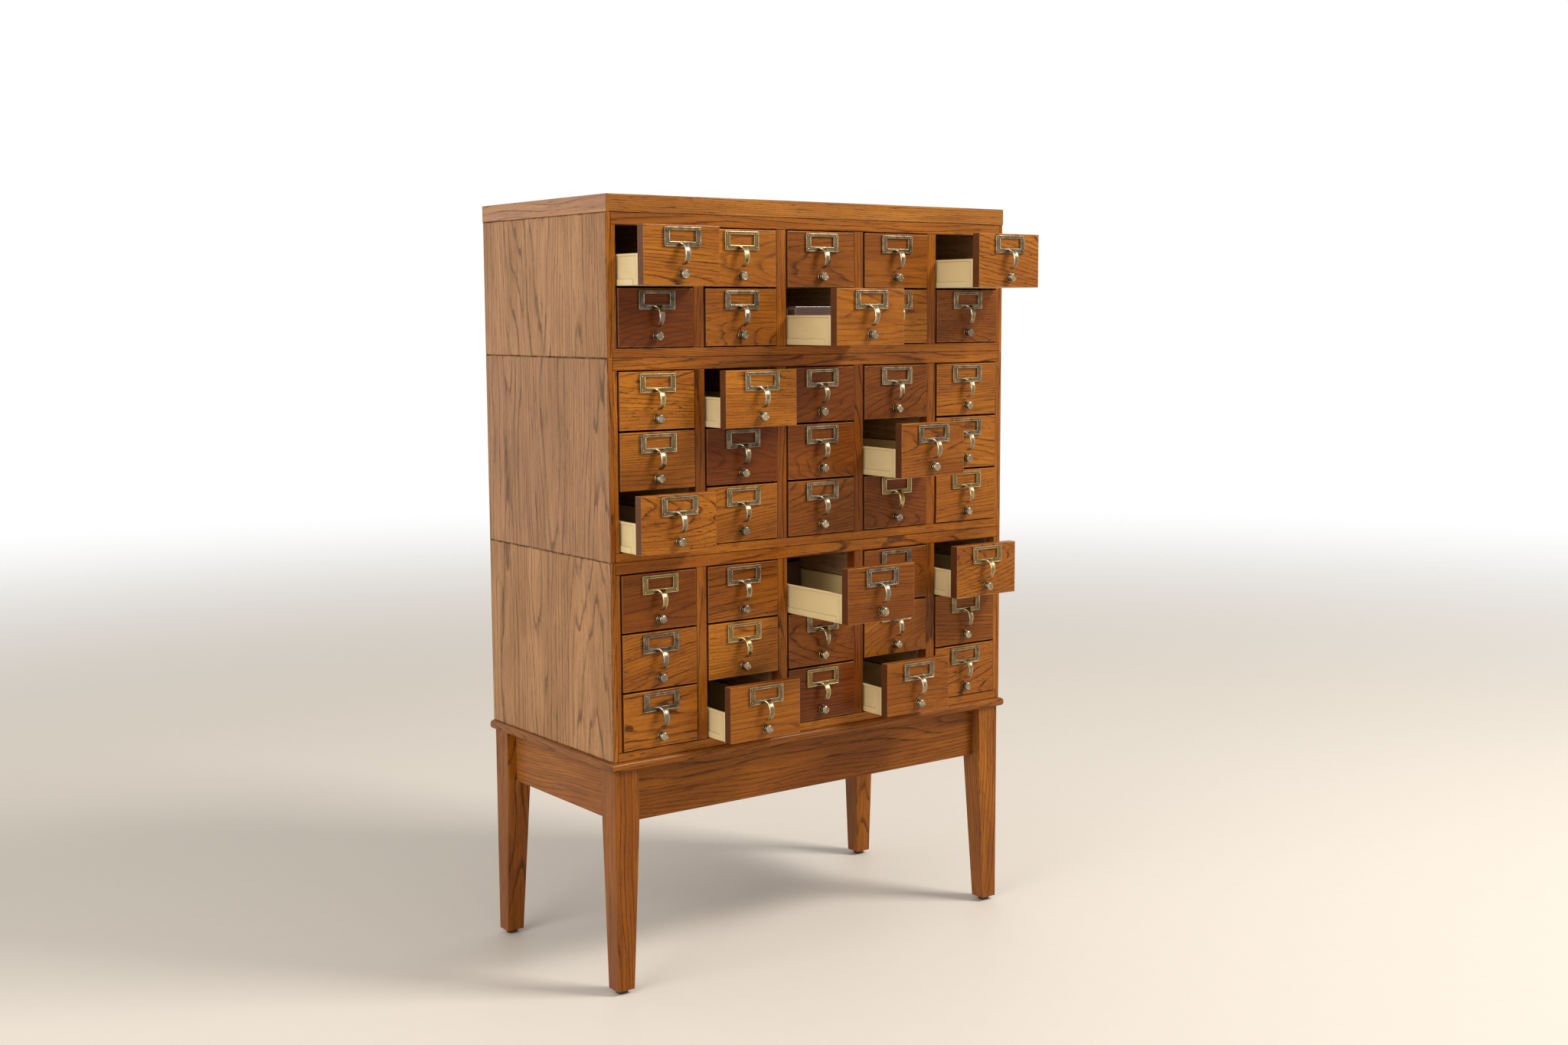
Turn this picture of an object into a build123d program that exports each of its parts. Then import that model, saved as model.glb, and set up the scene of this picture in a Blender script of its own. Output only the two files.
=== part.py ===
from build123d import *
import math
import os

os.makedirs("parts", exist_ok=True)

# Index card cabinet: three stacked drawer cases under a loose top board, on a stand with
# tapered legs. Forty card drawers in five columns and eight rows. Millimetres, +Z up,
# +X to the right of the drawer fronts, -Y out of the fronts. The origin is on the floor,
# in the middle of the overall box, with ten drawers drawn out as they stand in use.

# Overall case
case_width = 838.0
case_depth = 410.0
columns = 5
rows_in_case = {"upper_case": 2, "middle_case": 3, "lower_case": 3}
side_board = 7.0
outer_stile = 8.0
frame_depth = 18.0
mid_stile = 19.6
top_rail = 19.6
bottom_rail = 15.5
panel = 6.5
back_panel = 6.0
partition = 12.0
top_thick = 28.0
top_overhang = 1.0
board_ease = 1.0

# Drawer front, and the gaps around it
front_width = 142.0
front_height = 92.5
front_thick = 16.5
front_proud = 2.5
front_ease = 0.8
row_pitch = 96.0
gap_above = 1.9
gap_below = 1.5

# Moulded card tray behind the front
tray_width = 139.0
tray_length = 378.0
tray_height = 49.0
tray_wall = 4.0
tray_floor = 2.5
tray_end = 3.0
panel_sink = 1.5
rim_height = 3.5
ledge_height = 10.0
ledge_stop = 10.5
post = 7.0

# Label holder with its finger pull, one stamping
holder_width = 68.0
holder_height = 30.2
holder_thick = 3.4
holder_drop = 3.2
window_width = 47.8
window_height = 17.4
window_drop = 5.0
bevel = 0.6
pull_radius = 17.3
pull_sheet = 1.8
pull_offset = 0.6
pull_half = 4.4
flare_radius = 10.0
curl_angle = 78.0

# Card rod and its knob
rod_radius = 2.4
rod_hole = 2.8
rod_height = 17.2
rod_tail = 3.0
collar_radius = 7.7
collar_thick = 2.0
neck_radius = 4.6
neck_length = 2.8
head_radius = 7.6
head_length = 3.4
knob_reach = 12.5

# Follower that stands the cards up
follower_width = 122.0
follower_length = 27.0
follower_wall = 3.0
follower_height = 60.5
follower_back = 300.0
follower_corner = 5.0

# Battens on the partitions: the top edge carries a tray, the bottom edge keeps one level
batten_bite = 3.5
slide_gap = 0.4
kick_gap = 1.6

# Stand
glide_radius = 10.0
glide_height = 7.0
stand_top_thick = 15.5
stand_overhang = 7.0
stand_round = 6.5
stand_corner = 3.0
stand_height = 373.0
apron_height = 90.0
apron_thick = 19.0
apron_recess = 17.0
leg_inset = 2.0
leg_width = 45.0
leg_depth = 43.0
foot_width = 32.0
foot_depth = 30.0
tenon_thick = 9.0
tenon_length = 13.0
tenon_shoulder = 12.0
block_near = 60.0
block_far = 90.0
block_drop = 20.0

# Bolts that join the cases, the top and the stand
bolt_radius = 3.0
bolt_head_radius = 5.5
bolt_head = 4.0
bolt_clear = 0.2
bolt_inset = 60.0
top_bite = 14.0

# How far each drawer stands out of the case front, by row and column
drawn_out = {
    (1, 1): 78.0, (1, 5): 111.0, (2, 3): 134.5, (3, 2): 57.5, (4, 4): 101.5,
    (5, 1): 62.0, (6, 3): 163.0, (6, 5): 59.0, (8, 2): 64.0, (8, 4): 65.0,
}
short_follower = {(2, 3): 124.0}

# Worked out from the values above
pull_reach = pull_offset + pull_radius + pull_sheet / 2
case_front = -(case_depth - max(drawn_out.values()) - pull_reach) / 2
case_back = case_front + case_depth
inner_half = case_width / 2 - side_board
opening = (2 * inner_half - 2 * outer_stile - (columns - 1) * mid_stile) / columns
column_pitch = opening + mid_stile
inside_front = case_front + frame_depth
inside_back = case_back - back_panel
stand_top_top = stand_height + stand_top_thick

LOW = (Align.CENTER, Align.CENTER, Align.MIN)


def column_x(column):
    """Middle of a column, counted from 1 at the left."""
    return (column - (columns + 1) / 2) * column_pitch


def case_height(rows):
    """Height of a case with this many rows of drawers."""
    return bottom_rail + gap_below + (rows - 1) * row_pitch + front_height + gap_above + top_rail


def board(x_low, x_high, y_low, y_high, z_low, z_high):
    """One square-cut board between its limits."""
    corner = ((x_low + x_high) / 2, (y_low + y_high) / 2, z_low)
    with BuildPart(Plane(corner)) as piece:
        Box(x_high - x_low, y_high - y_low, z_high - z_low, align=LOW)
    return piece.part


def bolt_spots():
    """Where bolts pass through the floor and the top of a case, in plan."""
    return [(x, y) for x in (column_x(1), column_x(columns))
            for y in (inside_front + bolt_inset, inside_back - bolt_inset)]


def drilled_board(z_low, z_high):
    """Floor or top panel of a case, with its bolt holes."""
    with BuildPart(Plane((0, (inside_front + inside_back) / 2, z_low))) as piece:
        Box(2 * inner_half, inside_back - inside_front, z_high - z_low, align=LOW)
        with BuildSketch(Plane.XY.offset(z_low)):
            with Locations(*bolt_spots()):
                Circle(bolt_radius + bolt_clear)
        extrude(amount=z_high - z_low, mode=Mode.SUBTRACT)
    return piece.part


def group(name, pieces):
    """Keep loose solids together in one node and write it out."""
    solids = [solid for piece in pieces for solid in piece.solids()]
    node = Compound(solids)
    node.label = name
    export_step(node, f"parts/{name}.step")
    print(name, len(solids), "solids", round(node.volume / 1000), "cm3")
    return node


def case_boards(base, rows):
    """The boards of one drawer case standing at height base."""
    height = case_height(rows)
    top = base + height
    half = case_width / 2
    boards = []
    for side in (-1, 1):
        outer, inner = sorted((side * half, side * inner_half))
        boards.append(board(outer, inner, case_front, case_back, base, top))
        edge, face = sorted((side * inner_half, side * (inner_half - outer_stile)))
        boards.append(board(edge, face, case_front, inside_front, base + bottom_rail, top - top_rail))
    boards.append(board(-inner_half, inner_half, case_front, inside_front, base, base + bottom_rail))
    boards.append(board(-inner_half, inner_half, case_front, inside_front, top - top_rail, top))
    boards.append(board(-inner_half, inner_half, inside_back, case_back, base, top))
    boards.append(drilled_board(base, base + panel))
    boards.append(drilled_board(top - panel, top))
    for gap in range(1, columns):
        x = column_x(gap) + column_pitch / 2
        stile = mid_stile / 2
        boards.append(board(x - stile, x + stile, case_front, inside_front,
                            base + bottom_rail, top - top_rail))
        boards.append(board(x - partition / 2, x + partition / 2, inside_front, inside_back,
                            base + panel, top - panel))
    return boards


def batten_heights(base, rows):
    """Low and high edge of each batten in a case, from the floor of the case upwards."""
    first = base + bottom_rail + gap_below
    heights = [(base + panel, first - slide_gap)]
    for row in range(1, rows):
        tray = first + row * row_pitch
        heights.append((tray - row_pitch + tray_height + kick_gap, tray - slide_gap))
    last_rim = first + (rows - 1) * row_pitch + tray_height
    heights.append((last_rim + kick_gap, base + case_height(rows) - panel))
    return heights


def battens(base, rows):
    """Battens on both sides of every column of drawers in one case."""
    strips = []
    for column in range(1, columns + 1):
        middle = column_x(column)
        for side in (-1, 1):
            on_side_board = (side < 0 and column == 1) or (side > 0 and column == columns)
            partition_x = middle + side * (column_pitch - partition) / 2
            wall_x = side * inner_half if on_side_board else partition_x
            face_x = middle + side * (tray_width / 2 - batten_bite)
            low_x, high_x = sorted((wall_x, face_x))
            for low, high in batten_heights(base, rows):
                strips.append(board(low_x, high_x, inside_front, inside_back, low, high))
    return strips


def make_top_board(base):
    """Loose oak top, flush at the back, with eased edges and blind holes for its bolts."""
    with BuildPart(Plane((0, case_back, base))) as piece:
        Box(case_width + 2 * top_overhang, case_depth + top_overhang, top_thick,
            align=(Align.CENTER, Align.MAX, Align.MIN))
        chamfer(piece.faces().sort_by(Axis.Z)[-1].edges(), board_ease)
        chamfer(piece.faces().sort_by(Axis.Z)[0].edges(), board_ease)
        with BuildSketch(Plane.XY.offset(base)):
            with Locations(*bolt_spots()):
                Circle(bolt_radius + bolt_clear)
        extrude(amount=top_bite + bolt_clear, mode=Mode.SUBTRACT)
    return piece.part


def make_bolt(x, y, head_z, tip_z):
    """Round-headed bolt whose head faces away from its tip."""
    way = 1 if head_z > tip_z else -1
    with BuildPart(Plane((x, y, head_z), z_dir=(0, 0, way))) as bolt:
        Cylinder(bolt_head_radius, bolt_head, align=LOW)
        Cylinder(bolt_radius, abs(head_z - tip_z), align=(Align.CENTER, Align.CENTER, Align.MAX))
    return bolt.part


def make_nut(x, y, z_low):
    """Hexagon nut with a plain bore."""
    with BuildPart(Plane((x, y, z_low))) as nut:
        with BuildSketch(Plane((x, y, z_low))):
            RegularPolygon(bolt_head_radius, 6)
            Circle(bolt_radius + bolt_clear, mode=Mode.SUBTRACT)
        extrude(amount=bolt_head)
    return nut.part


def make_front():
    """Oak drawer front, its face at y = 0 and its lower edge at z = 0."""
    with BuildPart() as front:
        Box(front_width, front_thick, front_height, align=(Align.CENTER, Align.MIN, Align.MIN))
        chamfer(front.faces().sort_by(Axis.Y)[0].edges(), front_ease)
        with BuildSketch(Plane.XZ):
            with Locations((0, rod_height)):
                Circle(rod_hole)
        extrude(amount=-front_thick, mode=Mode.SUBTRACT)
    return front.part


def make_tray():
    """Moulded tray, open at the top, with sunk side panels over a running ledge."""
    back = front_thick + tray_length
    with BuildPart() as tray:
        with BuildSketch(Plane.XY):
            with Locations((0, front_thick)):
                Rectangle(tray_width, tray_length, align=(Align.CENTER, Align.MIN))
        extrude(amount=tray_height)
        with BuildSketch(Plane.XY.offset(tray_floor)):
            with Locations((0, front_thick + tray_end)):
                Rectangle(tray_width - 2 * tray_wall, tray_length - 2 * tray_end,
                          align=(Align.CENTER, Align.MIN))
        extrude(amount=tray_height, mode=Mode.SUBTRACT)
        start, stop = front_thick + post, back - post
        for side in (-1, 1):
            with BuildSketch(Plane.YZ.offset(side * tray_width / 2)):
                with BuildLine():
                    Polyline((start, 0), (start, tray_height - rim_height),
                             (stop, tray_height - rim_height), (stop, ledge_height),
                             (start + ledge_stop, ledge_height), (start + ledge_stop, 0), close=True)
                make_face()
            extrude(amount=-side * panel_sink, mode=Mode.SUBTRACT)
        with BuildSketch(Plane.XZ.offset(-back)):
            with Locations((0, rod_height)):
                Circle(rod_hole)
        extrude(amount=tray_length, mode=Mode.SUBTRACT)
    return tray.part


def arch_section(half_width, start, sweep):
    """Section of the finger pull between two angles of its arch, on its left side."""
    window_foot = front_height - holder_drop - window_drop - window_height
    centre = (-pull_offset, window_foot - pull_radius - pull_sheet / 2)
    with BuildSketch(Plane.YZ.offset(-half_width)) as section:
        with BuildLine():
            outside = CenterArc(centre, pull_radius + pull_sheet / 2, start, sweep)
            inside = CenterArc(centre, pull_radius - pull_sheet / 2, start, sweep)
            Line(outside @ 0, inside @ 0)
            Line(outside @ 1, inside @ 1)
        make_face()
    return section.sketch


def make_flare():
    """Root of the pull, wide at the holder and drawn in to the width of the tongue."""
    root_half = pull_half + flare_radius
    with BuildPart() as flare:
        extrude(arch_section(root_half, 90, 90), amount=2 * root_half)
        with BuildSketch(Plane.XY):
            with BuildLine():
                reach = pull_reach + 1
                arc_centre = -holder_thick - flare_radius
                left = CenterArc((-root_half, arc_centre), flare_radius, 90, -90)
                right = CenterArc((root_half, arc_centre), flare_radius, 90, 90)
                Line(left @ 1, (-pull_half, -reach))
                Line((-pull_half, -reach), (pull_half, -reach))
                Line((pull_half, -reach), right @ 1)
                Polyline(left @ 0, (-root_half, 0), (root_half, 0), right @ 0)
            make_face()
        extrude(amount=front_height, mode=Mode.INTERSECT)
    return flare.part


def make_pull():
    """Label holder with a curled finger pull, standing on the drawer's face."""
    holder_top = front_height - holder_drop
    with BuildPart() as pull:
        with BuildSketch(Plane.XZ):
            with Locations((0, holder_top - holder_height / 2)):
                Rectangle(holder_width, holder_height)
            with Locations((0, holder_top - window_drop - window_height / 2)):
                Rectangle(window_width, window_height, mode=Mode.SUBTRACT)
        extrude(amount=holder_thick)
        face_edges = pull.faces().sort_by(Axis.Y)[0].edges()
        chamfer(face_edges, bevel)
        extrude(arch_section(pull_half, 180, curl_angle), amount=2 * pull_half)
        add(flare_part)
    return pull.part


def make_rod():
    """Card rod with its knob, the collar just off the drawer's face."""
    tail = front_thick + tray_length + rod_tail
    collar = -slide_gap / 4
    neck = collar - collar_thick
    head = neck - neck_length
    crown = head - head_length
    dome = knob_reach + crown
    dome_radius = (head_radius ** 2 + dome ** 2) / (2 * dome)
    tilt = math.asin(head_radius / dome_radius) / 2
    shoulder = (dome_radius * (1 - math.cos(tilt)) - knob_reach,
                rod_height + dome_radius * math.sin(tilt))
    with BuildPart() as rod:
        with BuildSketch(Plane.YZ):
            with BuildLine():
                Polyline((-knob_reach, rod_height), (tail, rod_height),
                         (tail, rod_height + rod_radius), (collar, rod_height + rod_radius),
                         (collar, rod_height + collar_radius), (neck, rod_height + collar_radius),
                         (neck, rod_height + neck_radius), (head, rod_height + neck_radius),
                         (head, rod_height + head_radius), (crown, rod_height + head_radius))
                ThreePointArc((crown, rod_height + head_radius), shoulder, (-knob_reach, rod_height))
            make_face()
        revolve(axis=Axis((0, 0, rod_height), (0, 1, 0)))
    return rod.part


def make_follower(distance):
    """Follower that stands in the tray, its plate this far behind the drawer's face."""
    floor = tray_floor + slide_gap
    with BuildPart() as follower:
        with BuildSketch(Plane.XY.offset(floor)):
            with Locations((0, distance)):
                Rectangle(follower_width, follower_length, align=(Align.CENTER, Align.MIN))
            with Locations((0, distance + follower_wall)):
                Rectangle(follower_width - 2 * follower_wall, follower_length,
                          align=(Align.CENTER, Align.MIN), mode=Mode.SUBTRACT)
        extrude(amount=follower_height)
        with BuildSketch(Plane.XZ.offset(-distance - follower_wall)):
            with Locations((0, floor)):
                Rectangle(4 * rod_hole, rod_height + rod_hole - floor, align=(Align.CENTER, Align.MIN))
        extrude(amount=follower_wall, mode=Mode.SUBTRACT)
        top_face = follower.faces().sort_by(Axis.Z)[-1]
        fillet(top_face.edges().filter_by(Axis.X).group_by(Axis.Y)[-1], follower_corner)
    return follower.part


def make_stand_top():
    """Board between stand and cases, with a rounded edge at the front and the sides."""
    width = case_width + 2 * stand_overhang
    depth = case_depth + stand_overhang
    with BuildPart(Plane((0, case_front - stand_overhang, stand_height))) as piece:
        Box(width, depth, stand_top_thick, align=(Align.CENTER, Align.MIN, Align.MIN))
        fillet(piece.edges().filter_by(Axis.Z).group_by(Axis.Y)[0], stand_corner)
        for level in (0, -1):
            rim = piece.faces().sort_by(Axis.Z)[level].edges()
            fillet(rim.sort_by(Axis.Y)[:-1], stand_round)
        with BuildSketch(Plane.XY.offset(stand_height)):
            with Locations(*bolt_spots()):
                Circle(bolt_radius + bolt_clear)
        extrude(amount=stand_top_thick, mode=Mode.SUBTRACT)
    return piece.part


def leg_frame(side_x, side_y):
    """Outer corner of a leg in plan, for a side of -1 or 1 each way."""
    x = side_x * (case_width / 2 - leg_inset)
    y = case_front + leg_inset if side_y < 0 else case_back - leg_inset
    return x, y


def make_leg(side_x, side_y):
    """Leg with two straight outer faces, tapered inner faces and two mortises."""
    corner_x, corner_y = leg_frame(side_x, side_y)
    apron_low = stand_height - apron_height
    inward = (Align.MAX if side_x > 0 else Align.MIN, Align.MAX if side_y > 0 else Align.MIN)
    mortise = apron_height - 2 * tenon_shoulder
    centre = apron_recess + apron_thick / 2
    with BuildPart() as leg:
        with BuildSketch(Plane((corner_x, corner_y, glide_height))):
            Rectangle(foot_width, foot_depth, align=inward)
        with BuildSketch(Plane((corner_x, corner_y, apron_low))):
            Rectangle(leg_width, leg_depth, align=inward)
        loft(ruled=True)
        with BuildSketch(Plane((corner_x, corner_y, apron_low))):
            Rectangle(leg_width, leg_depth, align=inward)
        extrude(amount=apron_height)
        with BuildSketch(Plane((corner_x, corner_y, apron_low + tenon_shoulder))):
            with Locations((-side_x * (leg_width - tenon_length / 2), -side_y * centre)):
                Rectangle(tenon_length, tenon_thick)
            with Locations((-side_x * centre, -side_y * (leg_depth - tenon_length / 2))):
                Rectangle(tenon_thick, tenon_length)
        extrude(amount=mortise, mode=Mode.SUBTRACT)
    return leg.part


def make_apron(along_x, side):
    """Apron between two legs with a tenon at each end, side -1 or 1."""
    low = stand_height - apron_height
    middle_y = (case_front + case_back) / 2
    recess = leg_inset + apron_recess + apron_thick / 2
    if along_x:
        length = case_width - 2 * leg_inset - 2 * leg_width
        turn = Plane((0, middle_y + side * (case_depth / 2 - recess), low))
    else:
        length = case_depth - 2 * leg_inset - 2 * leg_depth
        turn = Plane((side * (case_width / 2 - recess), middle_y, low), x_dir=(0, 1, 0))
    with BuildPart(turn) as apron:
        Box(length, apron_thick, apron_height, align=LOW)
        with Locations((0, 0, tenon_shoulder)):
            Box(length + 2 * tenon_length, tenon_thick, apron_height - 2 * tenon_shoulder, align=LOW)
    return apron.part


def make_corner_block(side_x, side_y):
    """Block across an inner corner of the stand, clear of the leg."""
    corner_x, corner_y = leg_frame(side_x, side_y)
    inner = apron_recess + apron_thick
    points = [(block_near, inner), (block_far, inner), (inner, block_far), (inner, block_near)]
    with BuildPart() as block:
        with BuildSketch(Plane((corner_x, corner_y, stand_height - apron_height + block_drop))):
            with BuildLine():
                Polyline(*[(-side_x * a, -side_y * b) for a, b in points], close=True)
            make_face()
        extrude(amount=apron_height - block_drop)
    return block.part


def make_glide(side_x, side_y):
    """Round glide under the middle of a foot."""
    corner_x, corner_y = leg_frame(side_x, side_y)
    spot = (corner_x - side_x * foot_width / 2, corner_y - side_y * foot_depth / 2)
    with BuildPart(Plane((spot[0], spot[1], 0))) as glide:
        Cylinder(glide_radius, glide_height, align=LOW)
        chamfer(glide.faces().sort_by(Axis.Z)[0].edges(), 1.5)
    return glide.part


corners = [(side_x, side_y) for side_x in (-1, 1) for side_y in (-1, 1)]

# Stand
group("stand_legs", [make_leg(*corner) for corner in corners])
aprons = [make_apron(along_x, side) for along_x in (True, False) for side in (-1, 1)]
group("stand_aprons", aprons + [make_corner_block(*corner) for corner in corners])
group("floor_glides", [make_glide(*corner) for corner in corners])
group("stand_top", [make_stand_top()])

# Cases, from the stand upwards
case_base = {}
level = stand_top_top
for case_name in ("lower_case", "middle_case", "upper_case"):
    case_base[case_name] = level
    group(case_name, case_boards(level, rows_in_case[case_name]))
    level += case_height(rows_in_case[case_name])
runner_strips = []
for case_name, rows in rows_in_case.items():
    runner_strips += battens(case_base[case_name], rows)
group("drawer_runners", runner_strips)
group("top_board", [make_top_board(level)])
print("overall height", level + top_thick)

# Bolts: two cases, or the stand and a case, are clamped floor to top
bolts = []
for x, y in bolt_spots():
    for case_name in ("middle_case", "upper_case"):
        seam = case_base[case_name]
        bolts.append(make_bolt(x, y, seam + panel, seam - panel - bolt_head - 1))
        bolts.append(make_nut(x, y, seam - panel - bolt_head))
    seam = stand_top_top
    bolts.append(make_bolt(x, y, seam + panel, stand_height - bolt_head - 1))
    bolts.append(make_nut(x, y, stand_height - bolt_head))
    bolts.append(make_bolt(x, y, level - panel, level + top_bite))
group("joining_bolts", bolts)

# Drawers
front_part = make_front()
tray_part = make_tray()
flare_part = make_flare()
pull_part = make_pull()
rod_part = make_rod()
row_number = 0
for case_name, rows in rows_in_case.items():
    for row_in_case in range(rows):
        row_number += 1
        rows_below = rows - 1 - row_in_case
        height = case_base[case_name] + bottom_rail + gap_below + rows_below * row_pitch
        for column in range(1, columns + 1):
            place = (row_number, column)
            face = case_front - drawn_out.get(place, front_proud)
            spot = Location((column_x(column), face, height))
            follower = make_follower(short_follower.get(place, follower_back))
            pieces = [front_part, tray_part, pull_part, follower]
            if place in drawn_out:
                group(f"card_rod_r{row_number}c{column}", [rod_part.moved(spot)])
            else:
                pieces.append(rod_part)
            group(f"drawer_r{row_number}c{column}", [piece.moved(spot) for piece in pieces])
print("rows", row_number, "opening", round(opening, 2), "case front", round(case_front, 2))
print("arch angle", curl_angle, "tip", round(math.sin(math.radians(curl_angle)) * pull_radius, 1))
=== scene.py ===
# %% [markdown]
# # A sectional card cabinet, dressed for its portrait
# Three oak cases stand under a loose top board, on a stand with four tapered legs. Each of their
# forty drawers has an oak front, a moulded tray, a label holder that curls into a finger pull, and
# a long card rod with a turned knob.
#
# The measured model is loaded first and never changed. Every piece is built round it in the same
# metres and in the same place, so a board can be drawn straight between two of its corners.

# %% Load the measured model
import math
import random

import bmesh
import bpy
from bmesh import ops
from mathutils import Matrix, Vector


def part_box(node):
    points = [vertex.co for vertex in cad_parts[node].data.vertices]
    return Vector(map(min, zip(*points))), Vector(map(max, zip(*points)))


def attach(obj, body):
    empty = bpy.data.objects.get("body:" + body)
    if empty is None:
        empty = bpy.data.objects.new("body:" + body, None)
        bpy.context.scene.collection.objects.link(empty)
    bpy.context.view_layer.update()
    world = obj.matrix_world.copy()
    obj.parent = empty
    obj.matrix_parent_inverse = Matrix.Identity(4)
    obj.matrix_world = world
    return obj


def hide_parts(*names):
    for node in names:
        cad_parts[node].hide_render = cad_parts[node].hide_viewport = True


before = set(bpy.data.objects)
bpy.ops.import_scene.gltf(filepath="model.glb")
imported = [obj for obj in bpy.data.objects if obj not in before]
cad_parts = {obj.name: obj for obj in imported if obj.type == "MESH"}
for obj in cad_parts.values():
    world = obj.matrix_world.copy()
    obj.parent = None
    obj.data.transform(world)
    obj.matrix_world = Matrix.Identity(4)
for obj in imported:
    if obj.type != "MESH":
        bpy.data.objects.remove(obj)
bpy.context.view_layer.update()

# %% [markdown]
# ## Where things are
# The pull is the nearest point of a drawer's box in the measured model, so the oak face lies one
# pull's reach behind it. Reading places this way keeps each dressed drawer exactly over the
# measured one, closed or drawn out. A drawer is called after its row and column: r3c5 is the last
# one in the third row.

# %% Rows, columns and drawer places
MM = 0.001
CABINET = "cabinet"
ROWS = range(1, 9)
COLUMNS = range(1, 6)
PULL_REACH = 18.8 * MM
OPEN_BY = 10.0 * MM


def drawer_place(tag):
    """Middle of the lower edge of a drawer's face."""
    low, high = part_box(f"drawer_{tag}")
    return Vector(((low.x + high.x) / 2, low.y + PULL_REACH, low.z))


tags = [f"r{row}c{column}" for row in ROWS for column in COLUMNS]
places = {tag: drawer_place(tag) for tag in tags}
case_low, case_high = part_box("upper_case")
CASE_FRONT = case_low.y
CASE_BACK = case_high.y
CASE_HALF = case_high.x
drawn = [tag for tag in tags if places[tag].y < CASE_FRONT - OPEN_BY]
print("drawers", len(places), "of which stand open", len(drawn))

# %% [markdown]
# ## The camera
# The photograph was taken with a slightly long lens, from well to the left of the cabinet. The
# numbers come from fitting the corners of the cases, and nothing else depends on them.

# %% Camera
CAMERA_PLACE = Vector((-1.9144, -2.5817, 1.1012))
CAMERA_TURNS = ((-0.63953, "Z"), (math.pi / 2 - 0.11274, "X"), (-0.00433, "Z"))
CAMERA_LENS = 42.09
SENSOR_WIDTH = 36.0


def show(name, data):
    """Put a camera, a lamp or a mesh into the scene as an object."""
    shown = bpy.data.objects.new(name, data)
    bpy.context.scene.collection.objects.link(shown)
    return shown


camera = show("camera", bpy.data.cameras.new("camera"))
camera.data.lens = CAMERA_LENS
camera.data.sensor_width = SENSOR_WIDTH
yaw, pitch, roll = [Matrix.Rotation(angle, 4, axis) for angle, axis in CAMERA_TURNS]
camera.matrix_world = Matrix.Translation(CAMERA_PLACE) @ (yaw @ pitch) @ roll
bpy.context.scene.camera = camera
bpy.context.scene.view_settings.view_transform = "Standard"
print("camera", [round(value, 3) for value in camera.location], "lens", camera.data.lens)

# %% [markdown]
# ## Small helpers for shader nodes
# A shader is a graph of many small nodes. One function adds any node, plugs in what it is given and
# hands back the outputs, and the others say in a word which node they want.


# %% Node helpers
def plug(tree, value, socket):
    """Link an output to a socket, or write a plain value into it."""
    if isinstance(value, bpy.types.NodeSocket):
        tree.links.new(value, socket)
    else:
        socket.default_value = value


def add_node(tree, kind, values, **settings):
    """Add a node, with a value for each named or numbered input, and hand back its outputs."""
    node = tree.nodes.new(f"ShaderNode{kind}")
    for setting, choice in settings.items():
        setattr(node, setting, choice)
    for label, value in values.items():
        plug(tree, value, node.inputs[label])
    return node.outputs


def compute(tree, operation, *values):
    """One Math node."""
    return add_node(tree, "Math", dict(enumerate(values)), operation=operation)[0]


def times(tree, first, *others):
    """The product of all values."""
    for other in others:
        first = compute(tree, "MULTIPLY", first, other)
    return first


def add_share(tree, value, share, base):
    """The base and a share of the value."""
    return compute(tree, "MULTIPLY_ADD", value, share, base)


def vector_compute(tree, operation, *values, output="Vector"):
    """One Vector Math node."""
    return add_node(tree, "VectorMath", dict(enumerate(values)), operation=operation)[output]


def ramp(tree, value, start, stop, low=0.0, high=1.0):
    """A smooth step from low to high while the value goes from start to stop."""
    settings = dict(enumerate((value, start, stop, low, high)))
    return add_node(tree, "MapRange", settings, interpolation_type="SMOOTHSTEP")["Result"]


def noise(tree, place, stretch, detail=2.0, output="Fac"):
    """Noise whose grains are one over the stretch long, in metres, each way."""
    spread = add_node(tree, "Mapping", {"Vector": place, "Scale": stretch})["Vector"]
    return add_node(tree, "TexNoise", {"Vector": spread, "Scale": 1.0, "Detail": detail})[output]


def even_noise(tree, place, stretch, detail):
    """Noise with the same grain each way."""
    return noise(tree, place, (stretch, stretch, stretch), detail)


def mix(tree, factor, first, second, mode="MIX"):
    """Mix two colours."""
    values = {0: factor, 6: first, 7: second}
    return add_node(tree, "Mix", values, data_type="RGBA", blend_type=mode)[2]


def attribute(tree, name, output="Fac"):
    """Read a named attribute of the mesh."""
    return add_node(tree, "Attribute", {}, attribute_name=name)[output]


def coordinate(tree, output):
    """Where a point of the piece is, in its own metres, or which way it faces."""
    return add_node(tree, "TexCoord", {})[output]


def bump(tree, height, distance, strength=0.5):
    """Let a height bend the light."""
    settings = {"Strength": strength, "Distance": distance, "Height": height}
    return add_node(tree, "Bump", settings)["Normal"]


def new_material(name):
    """A material and its tree of nodes."""
    material = bpy.data.materials.new(name)
    material.use_nodes = True
    return material, material.node_tree


def surface(material, values):
    """Plug the inputs of a material's Principled shader."""
    tree = material.node_tree
    for label, value in values.items():
        plug(tree, value, tree.nodes["Principled BSDF"].inputs[label])
    return material


def new_group(name, inputs, outputs):
    """An empty shader group with named sockets, and its two end nodes."""
    group = bpy.data.node_groups.new(name, "ShaderNodeTree")
    for way, labels in (("INPUT", inputs), ("OUTPUT", outputs)):
        for label, kind in labels.items():
            group.interface.new_socket(label, in_out=way, socket_type=kind)
    ends = group.nodes.new("NodeGroupInput").outputs, group.nodes.new("NodeGroupOutput").inputs
    return group, *ends


print("node helpers ready")

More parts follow.
